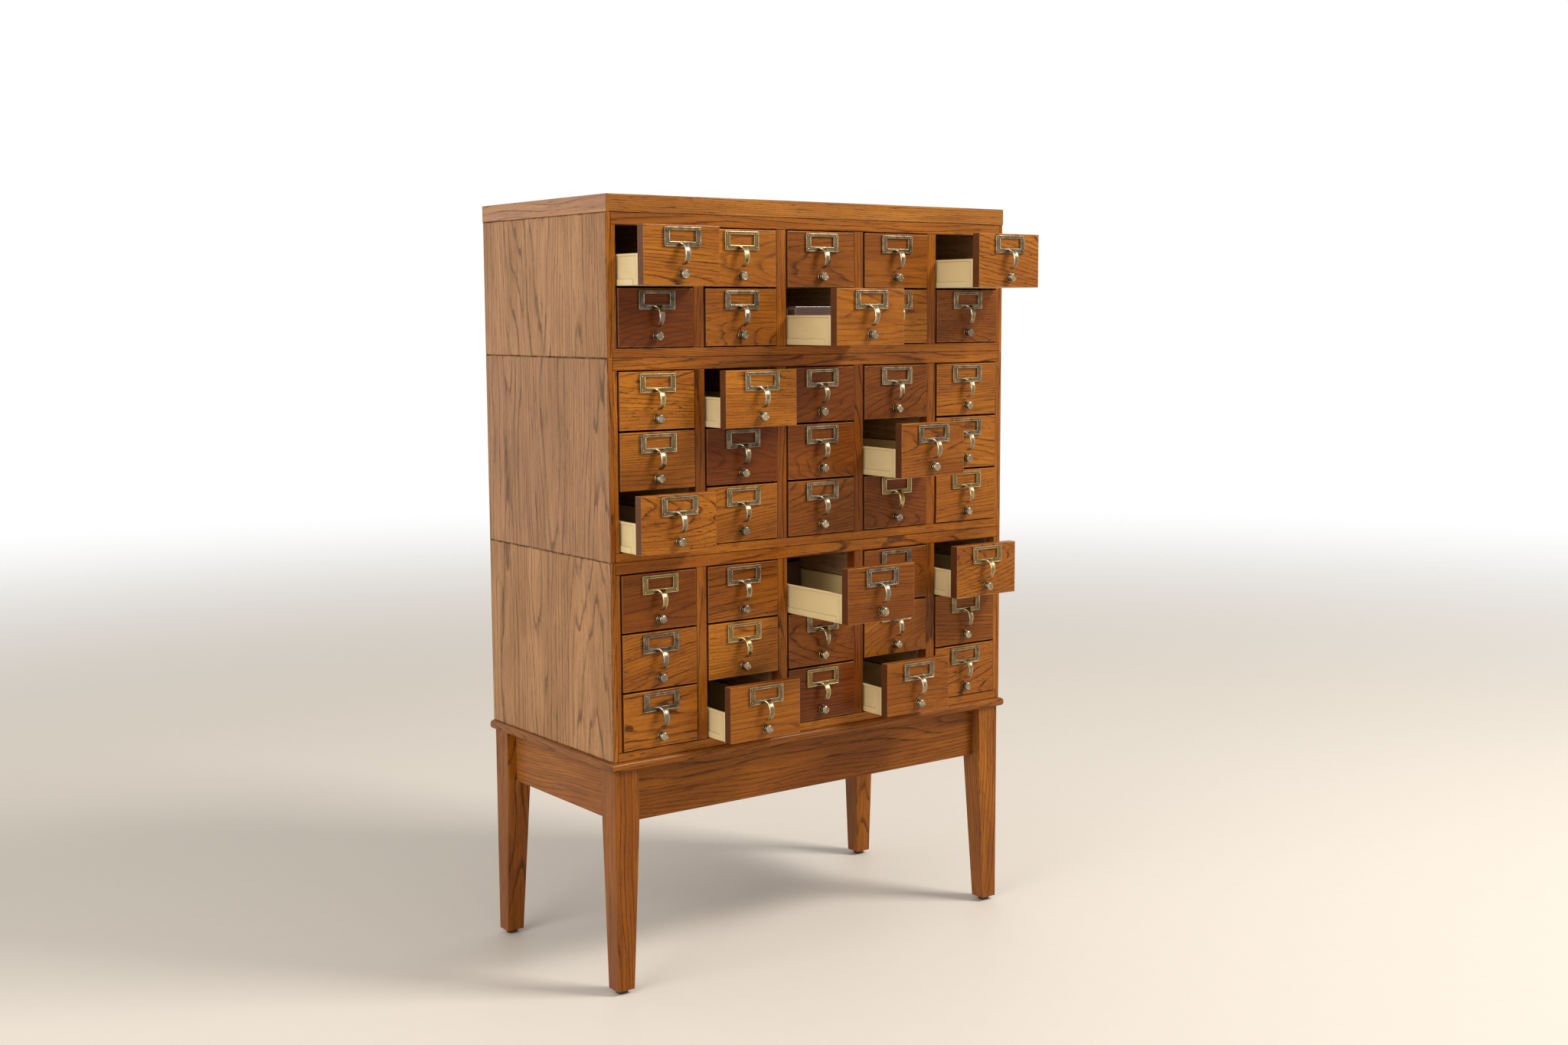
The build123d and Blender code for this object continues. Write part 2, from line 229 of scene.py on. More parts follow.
# %% [markdown]
# ## Floor, backdrop and light
# The floor is a wide pale disc that thins out to nothing, so no horizon cuts the picture. The world
# is plain white to the camera and to mirrors and lights the object at a lower level: Light Path
# tells the two apart. A lamp high in front on the right throws short shadows down to the left, and
# a larger one on the left lights the side and the trays.

# %% Floor
FLOOR_RADIUS = 9.0
FLOOR_FADE = (2.0, 7.5)
FLOOR_COLOUR = (0.74, 0.66, 0.56, 1)
FLOOR_SMUDGE = (0.6, 0.54, 0.46, 1)
FLOOR_NOISE, FLOOR_STEP, SMUDGED = (30, 3), (0.3, 0.7), 0.06
FLOOR_ROUGH = 0.6
FLOOR_SIDES = 96


def floor_material():
    """Pale matt floor that fades out with the distance from the cabinet."""
    material, tree = new_material("studio_floor")
    place = coordinate(tree, "Object")
    distance = vector_compute(tree, "LENGTH", place, output="Value")
    smudge = ramp(tree, even_noise(tree, place, *FLOOR_NOISE), *FLOOR_STEP, 0, SMUDGED)
    return surface(material, {
        "Base Color": mix(tree, smudge, FLOOR_COLOUR, FLOOR_SMUDGE), "Roughness": FLOOR_ROUGH,
        "Alpha": ramp(tree, distance, *FLOOR_FADE, 1.0, 0.0)})


floor_bm = bmesh.new()
ops.create_circle(floor_bm, cap_ends=True, segments=FLOOR_SIDES, radius=FLOOR_RADIUS)
floor_mesh = bpy.data.meshes.new("studio_floor")
floor_bm.to_mesh(floor_mesh)
floor_bm.free()
floor_mesh.materials.append(floor_material())
studio_floor = show("studio_floor", floor_mesh)
print("floor radius", FLOOR_RADIUS)

# %% World and lamps
WORLD_LIGHT = 0.52
LAMPS = {"key_lamp": ((2.5, -2.7, 3.9), (0, 0, 0.7), 1.5, 205),
         "side_lamp": ((-3.7, -0.9, 2.0), (-0.3, -0.1, 0.7), 2.6, 72)}

world = bpy.data.worlds.new("studio")
world.use_nodes = True
bpy.context.scene.world = world
world_tree = world.node_tree
backdrop = world_tree.nodes["Background"].inputs
backdrop["Color"].default_value = (1, 1, 1, 1)
paths = add_node(world_tree, "LightPath", {})
seen = compute(world_tree, "MAXIMUM", paths["Is Camera Ray"], paths["Is Glossy Ray"])
seen = compute(world_tree, "MAXIMUM", seen, paths["Is Transmission Ray"])
plug(world_tree, compute(world_tree, "MAXIMUM", seen, WORLD_LIGHT), backdrop["Strength"])


def soft_lamp(name, place, target, size, power):
    """A square area lamp that faces a point."""
    lamp = show(name, bpy.data.lights.new(name, "AREA"))
    lamp.data.size = size
    lamp.data.energy = power
    lamp.location = place
    aim = Vector(target) - Vector(place)
    lamp.rotation_euler = aim.to_track_quat("-Z", "Y").to_euler()


for name, settings in LAMPS.items():
    soft_lamp(name, *settings)
print("world light", WORLD_LIGHT, "lamps", len(bpy.data.lights))

# %% [markdown]
# ## Oak
# Oak has hard rings: a band of open pores every spring, then dense smooth wood. A board shows them
# as straight lines or, where it is cut near the middle of the trunk, as tall arches. So the figure
# is worked out in the tree: every board carries an attribute that says where its points once were
# in the trunk, x running up it. The shader measures the distance to the pith there, and end grain
# and edges fit the face on their own.

# %% Oak figure
TREE_INPUTS = {"Place in tree": "NodeSocketVector", "Ring gap": "NodeSocketFloat"}
FIGURE_PARTS = ("Early wood", "Lines", "Pores", "Streaks", "Cloud")
# Each noise of the trunk has so many grains in a metre along it and across it, and a detail.
TRUNK_NOISE = {"drift": (1.6, 6, 2), "breath": (1, 36, 1), "jag": (22, 120, 3),
               "fading": (9, 110, 2), "fibres": (34, 800, 2), "stray": (16, 620, 2),
               "pores": (110, 1900, 1), "streaks": (6, 170, 3), "cloud": (4, 14, 3)}
# Each part is a smooth step between two values of its noise, or between two shares of a year.
STEPS = {"spring": (0.0, 0.05), "early": (0.08, 0.4), "line": (0.1, 0.24), "fading": (0.38, 0.52),
         "fibres": (0.38, 0.5), "stray": (0.62, 0.68), "pores": (0.6, 0.68),
         "streaks": (0.4, 0.66), "cloud": (0.32, 0.68)}
FAINTEST_FIBRE = 0.3
WANDER = 0.04
RING_BREATH = 1.5
RING_JAG = 0.3
PORES_IN_SPRING = 0.1


def oak_figure():
    """Rings, pores and slow clouds of a trunk of oak."""
    outputs = dict.fromkeys(FIGURE_PARTS, "NodeSocketFloat")
    group, entry, leave = new_group("oak_figure", TREE_INPUTS, outputs)

    def trunk(name, place, output="Fac"):
        along, across, detail = TRUNK_NOISE[name]
        return noise(group, place, (along, across, across), detail, output)

    def step(name, value, low=0.0, high=1.0):
        return ramp(group, value, *STEPS[name], low, high)

    place = entry["Place in tree"]
    drift = vector_compute(group, "SUBTRACT", trunk("drift", place, "Color"), (0.5, 0.5, 0.5))
    drift = vector_compute(group, "MULTIPLY", drift, (0, WANDER, WANDER))
    bent = vector_compute(group, "ADD", place, drift)
    across = vector_compute(group, "MULTIPLY", bent, (0, 1, 1))
    from_pith = vector_compute(group, "LENGTH", across, output="Value")
    rings = compute(group, "DIVIDE", from_pith, entry["Ring gap"])
    rings = add_share(group, trunk("breath", across), RING_BREATH, rings)
    rings = add_share(group, trunk("jag", place), RING_JAG, rings)
    year = compute(group, "FRACT", rings)
    spring = step("spring", year)
    early = times(group, spring, step("early", year, 1.0, 0.0))
    edge_of_year = times(group, spring, step("line", year, 1.0, 0.0))
    fading = step("fading", trunk("fading", bent))
    fibres = step("fibres", trunk("fibres", bent), FAINTEST_FIBRE)
    stray = step("stray", trunk("stray", bent))
    pores = compute(group, "ADD", trunk("pores", bent), times(group, early, PORES_IN_SPRING))
    lines = compute(group, "MAXIMUM", times(group, edge_of_year, fading, fibres), stray)
    parts = (early, lines, step("pores", pores), step("streaks", trunk("streaks", bent)),
             step("cloud", trunk("cloud", place)))
    for label, part in zip(FIGURE_PARTS, parts):
        plug(group, part, leave[label])
    return group


OAK_FIGURE = oak_figure()
print("oak figure", len(OAK_FIGURE.nodes), "nodes")

# %% [markdown]
# ## Edges
# The edges of a board get a colour of their own: paler on the fronts, partly wear and partly a
# painted highlight, and dark on the other boards, painted shade of the seams and gaps between them.
# On a box, the distance from a point of the surface to the nearest edge is the second smallest of
# its distances to the box's sides. Two more attributes carry the point from the middle of the board
# and the board's half size, and the group turns them into a thin band along the edges, without a
# dense mesh.

# %% Edge band
EDGE_INPUTS = {"From middle": "NodeSocketVector", "Half size": "NodeSocketVector",
               "Width": "NodeSocketFloat"}
END_NEAR, END_FAR = 0.2 * MM, 0.7 * MM


def edge_band():
    """Band is one along the edges of a box and falls to nothing. End is one on its end grain."""
    outputs = {"Band": "NodeSocketFloat", "End": "NodeSocketFloat"}
    group, entry, leave = new_group("edge_band", EDGE_INPUTS, outputs)
    outwards = vector_compute(group, "ABSOLUTE", entry["From middle"])
    inside = vector_compute(group, "SUBTRACT", entry["Half size"], outwards)
    first, second, third = add_node(group, "SeparateXYZ", {0: inside})
    smaller = compute(group, "MINIMUM", first, second)
    larger = compute(group, "MINIMUM", compute(group, "MAXIMUM", first, second), third)
    nearest_edge = compute(group, "MAXIMUM", smaller, larger)
    plug(group, ramp(group, nearest_edge, 0.0, entry["Width"], 1.0, 0.0), leave["Band"])
    plug(group, ramp(group, first, END_NEAR, END_FAR, 1.0, 0.0), leave["End"])
    return group


EDGE_BAND = edge_band()
print("edge band", len(EDGE_BAND.nodes), "nodes")

# %% [markdown]
# ## Finished oak
# The stain sinks into the pores and the spring wood and leaves the dense wood golden, and the coat
# of the Principled shader is the satin lacquer. Each board also has a tone, from 0 for the palest
# to 1 for the darkest. What faces left and right gets a painted sheen, a pale veil that stands in
# for the reflection of a bright wall. The edges of the fronts are painted pale, partly wear and
# partly a painted highlight, and their coat shines. All other seams are painted dark, painted shade
# of the gaps between boards, and dull, in a wider band where a side panel or a rail ends.

# %% Oak material
RING_GAP = 3.6 * MM
SIDE_RING_GAP = 5.0 * MM
STREAK_SHARE, EARLY_SHARE, LINE_SHARE, PORE_SHARE = 0.4, 0.34, 0.92, 0.4
LACQUER_ROUGH, LINE_ROUGH, CLOUD_ROUGH = 0.36, 0.2, 0.08
COAT, COAT_ROUGH = 0.12, 0.16
SHEEN_LEVEL = 0.2
PORES_SUNK = 0.5
GRAIN_DEPTH = 0.1 * MM
SHEEN_FACING_STEP = (0.5, 0.95)
BAND_NOISE, BAND_STEP, LEAST_BAND = (60, 2), (0.35, 0.7), 0.3
PORE_COLOUR = (0.045, 0.0115, 0.0025, 1)
DARK_TINT = (0.3, 0.175, 0.24, 1)
END_COLOUR = (0.06, 0.016, 0.005, 1)
# Painted sheen: a pale veil over faces that point left and right, for the reflection of a bright
# wall.
PAINTED_SHEEN_COLOUR = (0.85, 0.84, 0.8, 1)
WARM_SHEEN = (1, 0.55, 0.25, 1)
# An edge is a colour, a width, a share of that colour, and what it adds to coat and roughness.
# The pale band on the fronts is partly wear and partly a painted highlight along their rims.
WORN_AND_HIGHLIGHT_EDGE = ((0.6, 0.27, 0.08, 1), 1.5 * MM, 0.55, 0.5, 0.0)
# The dark edge bands are painted shade of the seams and gaps between boards.
SEAM_SHADE = ((0.04, 0.01, 0.003, 1), 1.1 * MM, 0.85, -0.12, 0.35)
RAIL_SEAM_SHADE = ((0.03, 0.008, 0.002, 1), 1.9 * MM, 0.95, -0.12, 0.35)
WIDE_SEAM_SHADE = ((0.015, 0.005, 0.002, 1), 2.8 * MM, 1.0, -0.12, 0.35)
# A palette is dense wood, the slow clouds in it, and spring wood.
FRONT_OAK = (0.46, 0.155, 0.012, 1), (0.33, 0.1, 0.008, 1), (0.18, 0.043, 0.004, 1)
CASE_OAK = (0.42, 0.135, 0.011, 1), (0.29, 0.08, 0.007, 1), (0.16, 0.038, 0.004, 1)
# The side palette has a painted sheen baked in: paler, for the reflection of a bright wall.
SIDE_OAK_PAINTED_SHEEN = (0.468, 0.227, 0.087, 1), (0.347, 0.163, 0.056, 1), (0.21, 0.088, 0.027, 1)
TOP_OAK = (0.46, 0.175, 0.025, 1), (0.35, 0.12, 0.016, 1), (0.19, 0.055, 0.008, 1)
STAND_OAK = (0.36, 0.115, 0.01, 1), (0.25, 0.07, 0.007, 1), (0.11, 0.028, 0.003, 1)


def oak(name, palette, edge=SEAM_SHADE, end_share=0.0, painted_sheen=0.0, streak_share=STREAK_SHARE,
        ring_gap=RING_GAP):
    """Stained and lacquered oak that reads where its board lay in the tree."""
    material, tree = new_material(name)
    golden, amber, spring = palette
    edge_colour, edge_width, edge_share, edge_polish, edge_dulling = edge
    place = attribute(tree, "grain", "Vector")
    figure = add_node(tree, "Group", {"Place in tree": place, "Ring gap": ring_gap},
                      node_tree=OAK_FIGURE)
    band = add_node(tree, "Group", {"From middle": attribute(tree, "middle", "Vector"),
                                    "Half size": attribute(tree, "half", "Vector"),
                                    "Width": edge_width}, node_tree=EDGE_BAND)
    lines = times(tree, figure["Lines"], attribute(tree, "figure"))
    colour = mix(tree, figure["Cloud"], golden, amber)
    for part, share, stain in ((figure["Streaks"], streak_share, spring),
                               (figure["Early wood"], EARLY_SHARE, spring),
                               (lines, LINE_SHARE, PORE_COLOUR),
                               (figure["Pores"], PORE_SHARE, PORE_COLOUR)):
        colour = mix(tree, times(tree, part, share), colour, stain)
    darkened = mix(tree, 1.0, colour, DARK_TINT, "MULTIPLY")
    colour = mix(tree, attribute(tree, "tone"), colour, darkened)
    facing = add_node(tree, "SeparateXYZ", {0: coordinate(tree, "Normal")})["X"]
    # Painted sheen on faces that point left and right.
    painted_sheen_mask = ramp(tree, compute(tree, "ABSOLUTE", facing), *SHEEN_FACING_STEP, 0.0, painted_sheen)
    # Noise breaks up the edge bands: the worn and highlight band on fronts, painted seam shade
    # elsewhere.
    band_breakup = ramp(tree, even_noise(tree, place, *BAND_NOISE), *BAND_STEP, LEAST_BAND)
    for factor, over in ((painted_sheen_mask, PAINTED_SHEEN_COLOUR),
                         (times(tree, band["Band"], band_breakup, edge_share), edge_colour),
                         (times(tree, band["End"], end_share), END_COLOUR)):
        colour = mix(tree, factor, colour, over)
    dull = add_share(tree, figure["Lines"], LINE_ROUGH, LACQUER_ROUGH)
    dull = add_share(tree, band["Band"], edge_dulling, dull)
    sunk = add_share(tree, figure["Pores"], PORES_SUNK, figure["Lines"])
    return surface(material, {
        "Base Color": colour,
        "Roughness": add_share(tree, figure["Cloud"], CLOUD_ROUGH, dull),
        "Specular IOR Level": SHEEN_LEVEL, "Specular Tint": WARM_SHEEN,
        "Coat Weight": add_share(tree, band["Band"], edge_polish, COAT),
        "Coat Roughness": COAT_ROUGH,
        "Normal": bump(tree, compute(tree, "SUBTRACT", 1.0, sunk), GRAIN_DEPTH)})


oak_front = oak("oak_front", FRONT_OAK, WORN_AND_HIGHLIGHT_EDGE, 0.8, 0.05)
oak_case = oak("oak_case", CASE_OAK)
oak_rail = oak("oak_rail", CASE_OAK, RAIL_SEAM_SHADE)
oak_side = oak("oak_side", SIDE_OAK_PAINTED_SHEEN, WIDE_SEAM_SHADE, 0.0, 0.025, 0.45, SIDE_RING_GAP)
oak_top = oak("oak_top", TOP_OAK, SEAM_SHADE, 0.0, 0.1)
oak_stand = oak("oak_stand", STAND_OAK, SEAM_SHADE, 0.4, 0.02)
print("oak materials", [m.name for m in bpy.data.materials if m.name.startswith("oak_")])

# %% [markdown]
# ## Inside wood
# Partitions and battens are plain boards. The partitions and the floors and ceilings of the cases
# are coloured nearly black, painted shade for the dark inside of the cells. Some of them are the
# measured pieces themselves and have no attributes, so their streaks are read from the object's own
# metres.

# %% Inside wood material
STREAK_NOISE, STREAK_STEP = ((160, 5, 160), 3), (0.35, 0.65)
SPECK_NOISE, SPECK_STEP, SPECK_SHARE = ((700, 40, 700), 1), (0.58, 0.66), 0.5
INSIDE_ROUGH = (0.6, 0.75)


def inside_wood(name, light, dark):
    """Dark plain wood with streaks that run front to back."""
    material, tree = new_material(name)
    place = coordinate(tree, "Object")
    streak = ramp(tree, noise(tree, place, *STREAK_NOISE), *STREAK_STEP)
    speck = ramp(tree, noise(tree, place, *SPECK_NOISE), *SPECK_STEP)
    colour = mix(tree, streak, light, dark)
    return surface(material, {
        "Base Color": mix(tree, times(tree, speck, SPECK_SHARE), colour, PORE_COLOUR),
        "Roughness": ramp(tree, streak, 0.0, 1.0, *INSIDE_ROUGH),
        "Normal": bump(tree, streak, GRAIN_DEPTH)})


# Nearly black: painted shade for the inside of the cells.
inside_painted_shade = inside_wood("inside_painted_shade", (0.085, 0.045, 0.022, 1), (0.05, 0.026, 0.014, 1))
batten_wood = inside_wood("batten_wood", (0.3, 0.17, 0.08, 1), (0.2, 0.105, 0.045, 1))
print("inside wood ready")

# %% [markdown]
# ## Antiqued brass
# The fittings were plated and then darkened. Touched parts are bright again and the hollows stay
# nearly black. An attribute called ridge is 1 on raised parts and 0 in hollows, and noise breaks
# the border, so no two holders look alike. On the pulls and pins the ridge also holds painted
# light: a painted highlight on their sides and crowns, and a painted dark reflection at the pull's
# root. Another, gilt, says how golden a fitting has stayed.

# %% Brass material
GILT_TINT = (1.0, 0.86, 0.5, 1)
BLOTCH_NOISE, FLECK_NOISE = (90, 3), (700, 2)
WORN_STEP, BRIGHT_STEP, ROUGH_STEP = (0.32, 0.8), (0.85, 1.25), (0.3, 1.0)
PATINA_ROUGH = 0.18
FLECK_DEPTH, FLECK_BUMP = 0.05 * MM, 0.3
RIDGE_POLISH, BLOTCH_POLISH, FLECK_POLISH, GILT_POLISH = 0.42, 0.8, 0.25, 0.25
# Bright, worn and darkened plating, and the roughness where it is bright.
METALS = {
    "antique_brass": ((0.5, 0.43, 0.34, 1), (0.185, 0.145, 0.098, 1), (0.05, 0.039, 0.025, 1),
                      0.26),
    "bolt_steel": ((0.5, 0.5, 0.48, 1), (0.4, 0.4, 0.38, 1), (0.22, 0.22, 0.21, 1), 0.4),
    "staple_steel": ((0.09, 0.07, 0.06, 1), (0.05, 0.035, 0.028, 1), (0.02, 0.012, 0.01, 1), 0.5)}


def plated(name, bright, worn, patina, rough):
    """Plated metal, dark in its hollows and bright on its ridges."""
    material, tree = new_material(name)
    place = coordinate(tree, "Object")
    gilt = attribute(tree, "gilt")
    fleck = even_noise(tree, place, *FLECK_NOISE)
    polish = times(tree, even_noise(tree, place, *BLOTCH_NOISE), BLOTCH_POLISH)
    for part, share in ((attribute(tree, "ridge"), RIDGE_POLISH), (gilt, GILT_POLISH),
                        (fleck, FLECK_POLISH)):
        polish = add_share(tree, part, share, polish)
    colour = mix(tree, ramp(tree, polish, *WORN_STEP), patina, worn)
    colour = mix(tree, ramp(tree, polish, *BRIGHT_STEP), colour, bright)
    gilded_colour = mix(tree, 1.0, colour, GILT_TINT, "MULTIPLY")
    return surface(material, {
        "Base Color": mix(tree, gilt, colour, gilded_colour), "Metallic": 1.0,
        "Roughness": ramp(tree, polish, *ROUGH_STEP, rough + PATINA_ROUGH, rough),
        "Normal": bump(tree, fleck, FLECK_DEPTH, FLECK_BUMP)})


plated_brass, bolt_steel, staple_steel = [plated(name, *look) for name, look in METALS.items()]
print("metals", list(METALS))

# %% [markdown]
# ## Tray plastic, follower paint and glides
# The trays are cream plastic, moulded with a faint pebble and a little grubby along their length.
# The followers are painted dark brown, chipped to pale metal along the edges. The glides are hard
# dark rubber with scuffs.

# %% Plastic, paint and rubber
# Painted shade for the slopes of the steps round the trays' sunk panels.
STEP_SHADE_COLOUR = (0.2, 0.11, 0.045, 1)
STEP_SHADE_SHARE, SCUFF_SHARE, SMUDGE_SHARE = 0.25, 0.25, 0.6
SMUDGE_NOISE, SMUDGE_STEP, SMUDGE_ROUGH = ((14, 9, 26), 4), (0.48, 0.8), 0.15
SCUFF_NOISE, SCUFF_STEP = ((300, 18, 420), 2), (0.6, 0.72)
PEBBLE_NOISE, PEBBLE_BUMP = (1500, 1), 0.25
CHIP_NOISE, CHIP_STEP, CHIP_ON_RIDGE, CHIP_METAL = (260, 3), (0.72, 0.86), 0.42, 0.7
PAINT_ROUGH_STEP, PAINT_ROUGH = (0.3, 0.7), (0.38, 0.55)
PAINT_DEPTH, PAINT_BUMP = 0.08 * MM, 0.4


def moulded(name, clean, grubby, roughness, pebble):
    """Moulded plastic or rubber with soft smudges, painted shade in its steps and a fine pebble."""
    material, tree = new_material(name)
    place = coordinate(tree, "Object")
    smudge = ramp(tree, noise(tree, place, *SMUDGE_NOISE), *SMUDGE_STEP)
    scuff = ramp(tree, noise(tree, place, *SCUFF_NOISE), *SCUFF_STEP)
    stain = add_share(tree, scuff, SCUFF_SHARE, times(tree, smudge, SMUDGE_SHARE))
    # Painted shade in the steps of the tray.
    painted_step_shade = times(tree, attribute(tree, "step_shade"), STEP_SHADE_SHARE)
    colour = mix(tree, painted_step_shade, mix(tree, stain, clean, grubby), STEP_SHADE_COLOUR)
    return surface(material, {
        "Base Color": colour, "Roughness": add_share(tree, smudge, SMUDGE_ROUGH, roughness),
        "Normal": bump(tree, even_noise(tree, place, *PEBBLE_NOISE), pebble, PEBBLE_BUMP)})


def painted(name, paint, chipped):
    """Dark paint, chipped to metal on the ridges."""
    material, tree = new_material(name)
    chip = even_noise(tree, coordinate(tree, "Object"), *CHIP_NOISE)
    chipping = add_share(tree, attribute(tree, "ridge"), CHIP_ON_RIDGE, chip)
    bare = ramp(tree, chipping, *CHIP_STEP)
    return surface(material, {
        "Base Color": mix(tree, bare, paint, chipped), "Metallic": times(tree, bare, CHIP_METAL),
        "Roughness": ramp(tree, chip, *PAINT_ROUGH_STEP, *PAINT_ROUGH),
        "Normal": bump(tree, bare, PAINT_DEPTH, PAINT_BUMP)})


tray_plastic = moulded("tray_plastic", (0.72, 0.56, 0.285, 1), (0.58, 0.42, 0.185, 1),
                       0.36, 0.03 * MM)
glide_rubber = moulded("glide_rubber", (0.02, 0.016, 0.013, 1), (0.055, 0.045, 0.035, 1),
                       0.55, 0.06 * MM)
follower_paint = painted("follower_paint", (0.07, 0.032, 0.02, 1), (0.42, 0.36, 0.3, 1))
print("plastic, rubber and paint ready")

# %% [markdown]
# ## From a bmesh to a piece
# Each piece becomes an object at the origin, with its place in its mesh, and rides on a body of the
# measured model. Round forms are shaded smooth up to a sharp angle, square boards stay flat.

# %% Piece helpers
ALONG_X, ALONG_Y, ALONG_Z = 0, 1, 2
CLOSE = 1e-6
NEARBY = 10 * CLOSE
# A round form is smooth up to an angle in degrees, and edges sharper than an angle are eased.
TURNED_SMOOTH, MOULDED_SMOOTH, STAMPED_SMOOTH, PIN_SMOOTH = 35, 30, 40, 50
SHARP_LEG, SHARP_TRAY, SHARP_METAL = 40, 35, 50


def place_piece(name, mesh, material, body):
    """Show a finished mesh as a piece that rides on a body."""
    mesh.name = name
    mesh.materials.clear()
    mesh.materials.append(material)
    piece = show(name, mesh)
    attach(piece, body)
    return piece


def close_bmesh(bm, name, smooth_angle=None):
    """Turn a bmesh into a mesh with its faces outwards."""
    ops.recalc_face_normals(bm, faces=bm.faces)
    mesh = bpy.data.meshes.new(name)
    bm.to_mesh(mesh)
    bm.free()
    if smooth_angle:
        mesh.shade_smooth()
        mesh.set_sharp_from_angle(angle=math.radians(smooth_angle))
    return mesh


def moved(mesh, shift):
    """A copy of a mesh, moved."""
    copy = mesh.copy()
    copy.transform(Matrix.Translation(shift))
    return copy


def box_bmesh(low, high):
    """A box between two corners."""
    bm = bmesh.new()
    ops.create_cube(bm, size=1.0)
    ops.scale(bm, vec=Vector(high) - Vector(low), verts=bm.verts)
    ops.translate(bm, vec=(Vector(low) + Vector(high)) / 2, verts=bm.verts)
    return bm


def round_edges(bm, edges, offset, segments=2):
    """Bevel some edges round."""
    ops.bevel(bm, geom=edges, offset=offset, segments=segments, profile=0.5, affect="EDGES",
              material=-1, clamp_overlap=True)


def round_sharp(bm, angle, offset):
    """Bevel all edges that turn by more than an angle in degrees."""
    limit = math.radians(angle)
    round_edges(bm, [edge for edge in bm.edges if edge.calc_face_angle(0) > limit], offset)


def flat_at(bm, axis, value):
    """The edges that lie at one value of x, y or z."""
    return [edge for edge in bm.edges if all(abs(v.co[axis] - value) < CLOSE for v in edge.verts)]


def new_verts(geom):
    """The vertices among new geometry."""
    return [item for item in geom if isinstance(item, bmesh.types.BMVert)]


def cut_across(bm, point, normal, faces=None):
    """Cut a bmesh or some of its faces with a plane and keep both sides."""
    faces = faces or bm.faces[:]
    used = {item for face in faces for item in (*face.edges, *face.verts)}
    geom = [item for item in (*bm.verts, *bm.edges) if item in used] + faces
    ops.bisect_plane(bm, geom=geom, plane_co=point, plane_no=normal)


def cut_at(bm, axis, value, faces=None):
    """Cut square across an axis."""
    normal = Vector([axis == other for other in range(3)])
    cut_across(bm, normal * value, normal, faces)


print("piece helpers ready")

# %% [markdown]
# ## Writing the grain
# A board remembers its tree through attributes on its corners. It is tipped a few degrees against
# the trunk by a seeded random turn, which makes the grain lean and the arches close. Wide boards
# are several staves, each from its own tree.

# %% Grain attributes
SEED = 1917
TRUNK_LENGTH = 20
NO_EDGES = (9, 9, 9)
PALE_TONES = (0.0, 0.25)
# A cut in the tree is a lean, the nearest and farthest the pith may be, and a spread sideways.
BOARD_PITH = (0.05, 0.16, 0.09)
NOSE_CUT = (0.02, 0.05, 0.12, 0.05)
LEG_CUT = (0.02, 0.03, 0.08, 0.05)
FRONT_CUT = (0.07, 0.03, 0.11, 0.06)
chance = random.Random(SEED)


def tree_cut(lean, pith_near, pith_far, spread):
    """A random turn and shift of a board in its tree, the pith at some depth below its face."""
    turn, tip = [Matrix.Rotation(chance.gauss(0, lean), 3, axis) for axis in "ZY"]
    side = chance.choice((-1, 1))
    shift = Vector((chance.uniform(0, TRUNK_LENGTH), chance.uniform(-spread, spread),
                    side * chance.uniform(pith_near, pith_far)))
    return turn @ tip, shift


def write_attribute(mesh, name, kind, values):
    """Store one value for every corner of the mesh."""
    stored = mesh.attributes.new(name, kind, "CORNER")
    stored.data.foreach_set("value" if kind == "FLOAT" else "vector", values)


def lay_grain(mesh, low, high, along, tone, cuts, edges_show=True, figure=0.9, is_crosswise=None):
    """Give each corner of a board its place in the tree. Some faces may have it crosswise."""
    size = Vector(high) - Vector(low)
    middle = (Vector(low) + Vector(high)) / 2
    others = (axis for axis in range(3) if axis != along)
    across, deep = sorted(others, key=lambda axis: -size[axis])
    grain, from_middle, half = [], [], []
    for polygon in mesh.polygons:
        crosswise = is_crosswise is not None and is_crosswise(polygon)
        axes = (across, along, deep) if crosswise else (along, across, deep)
        reach = [size[axis] / 2 for axis in axes] if edges_show else NO_EDGES
        share = 0 if crosswise else (polygon.center[across] - low[across]) / size[across]
        stave = max(0, min(int(share * len(cuts)), len(cuts) - 1))
        turn, shift = cuts[stave]
        stave_middle = Vector((0, 0, 0))
        if not crosswise:
            stave_middle.y = ((stave + 0.5) / len(cuts) - 0.5) * size[across]
        for corner in polygon.loop_indices:
            point = mesh.vertices[mesh.loops[corner].vertex_index].co - middle
            local = Vector([point[axis] for axis in axes])
            from_middle.extend(local)
            half.extend(reach)
            grain.extend(turn @ (local - stave_middle) + shift)
    for name, values in (("grain", grain), ("middle", from_middle), ("half", half)):
        write_attribute(mesh, name, "FLOAT_VECTOR", values)
    for name, value in (("tone", tone), ("figure", figure)):
        write_attribute(mesh, name, "FLOAT", [value] * len(mesh.loops))


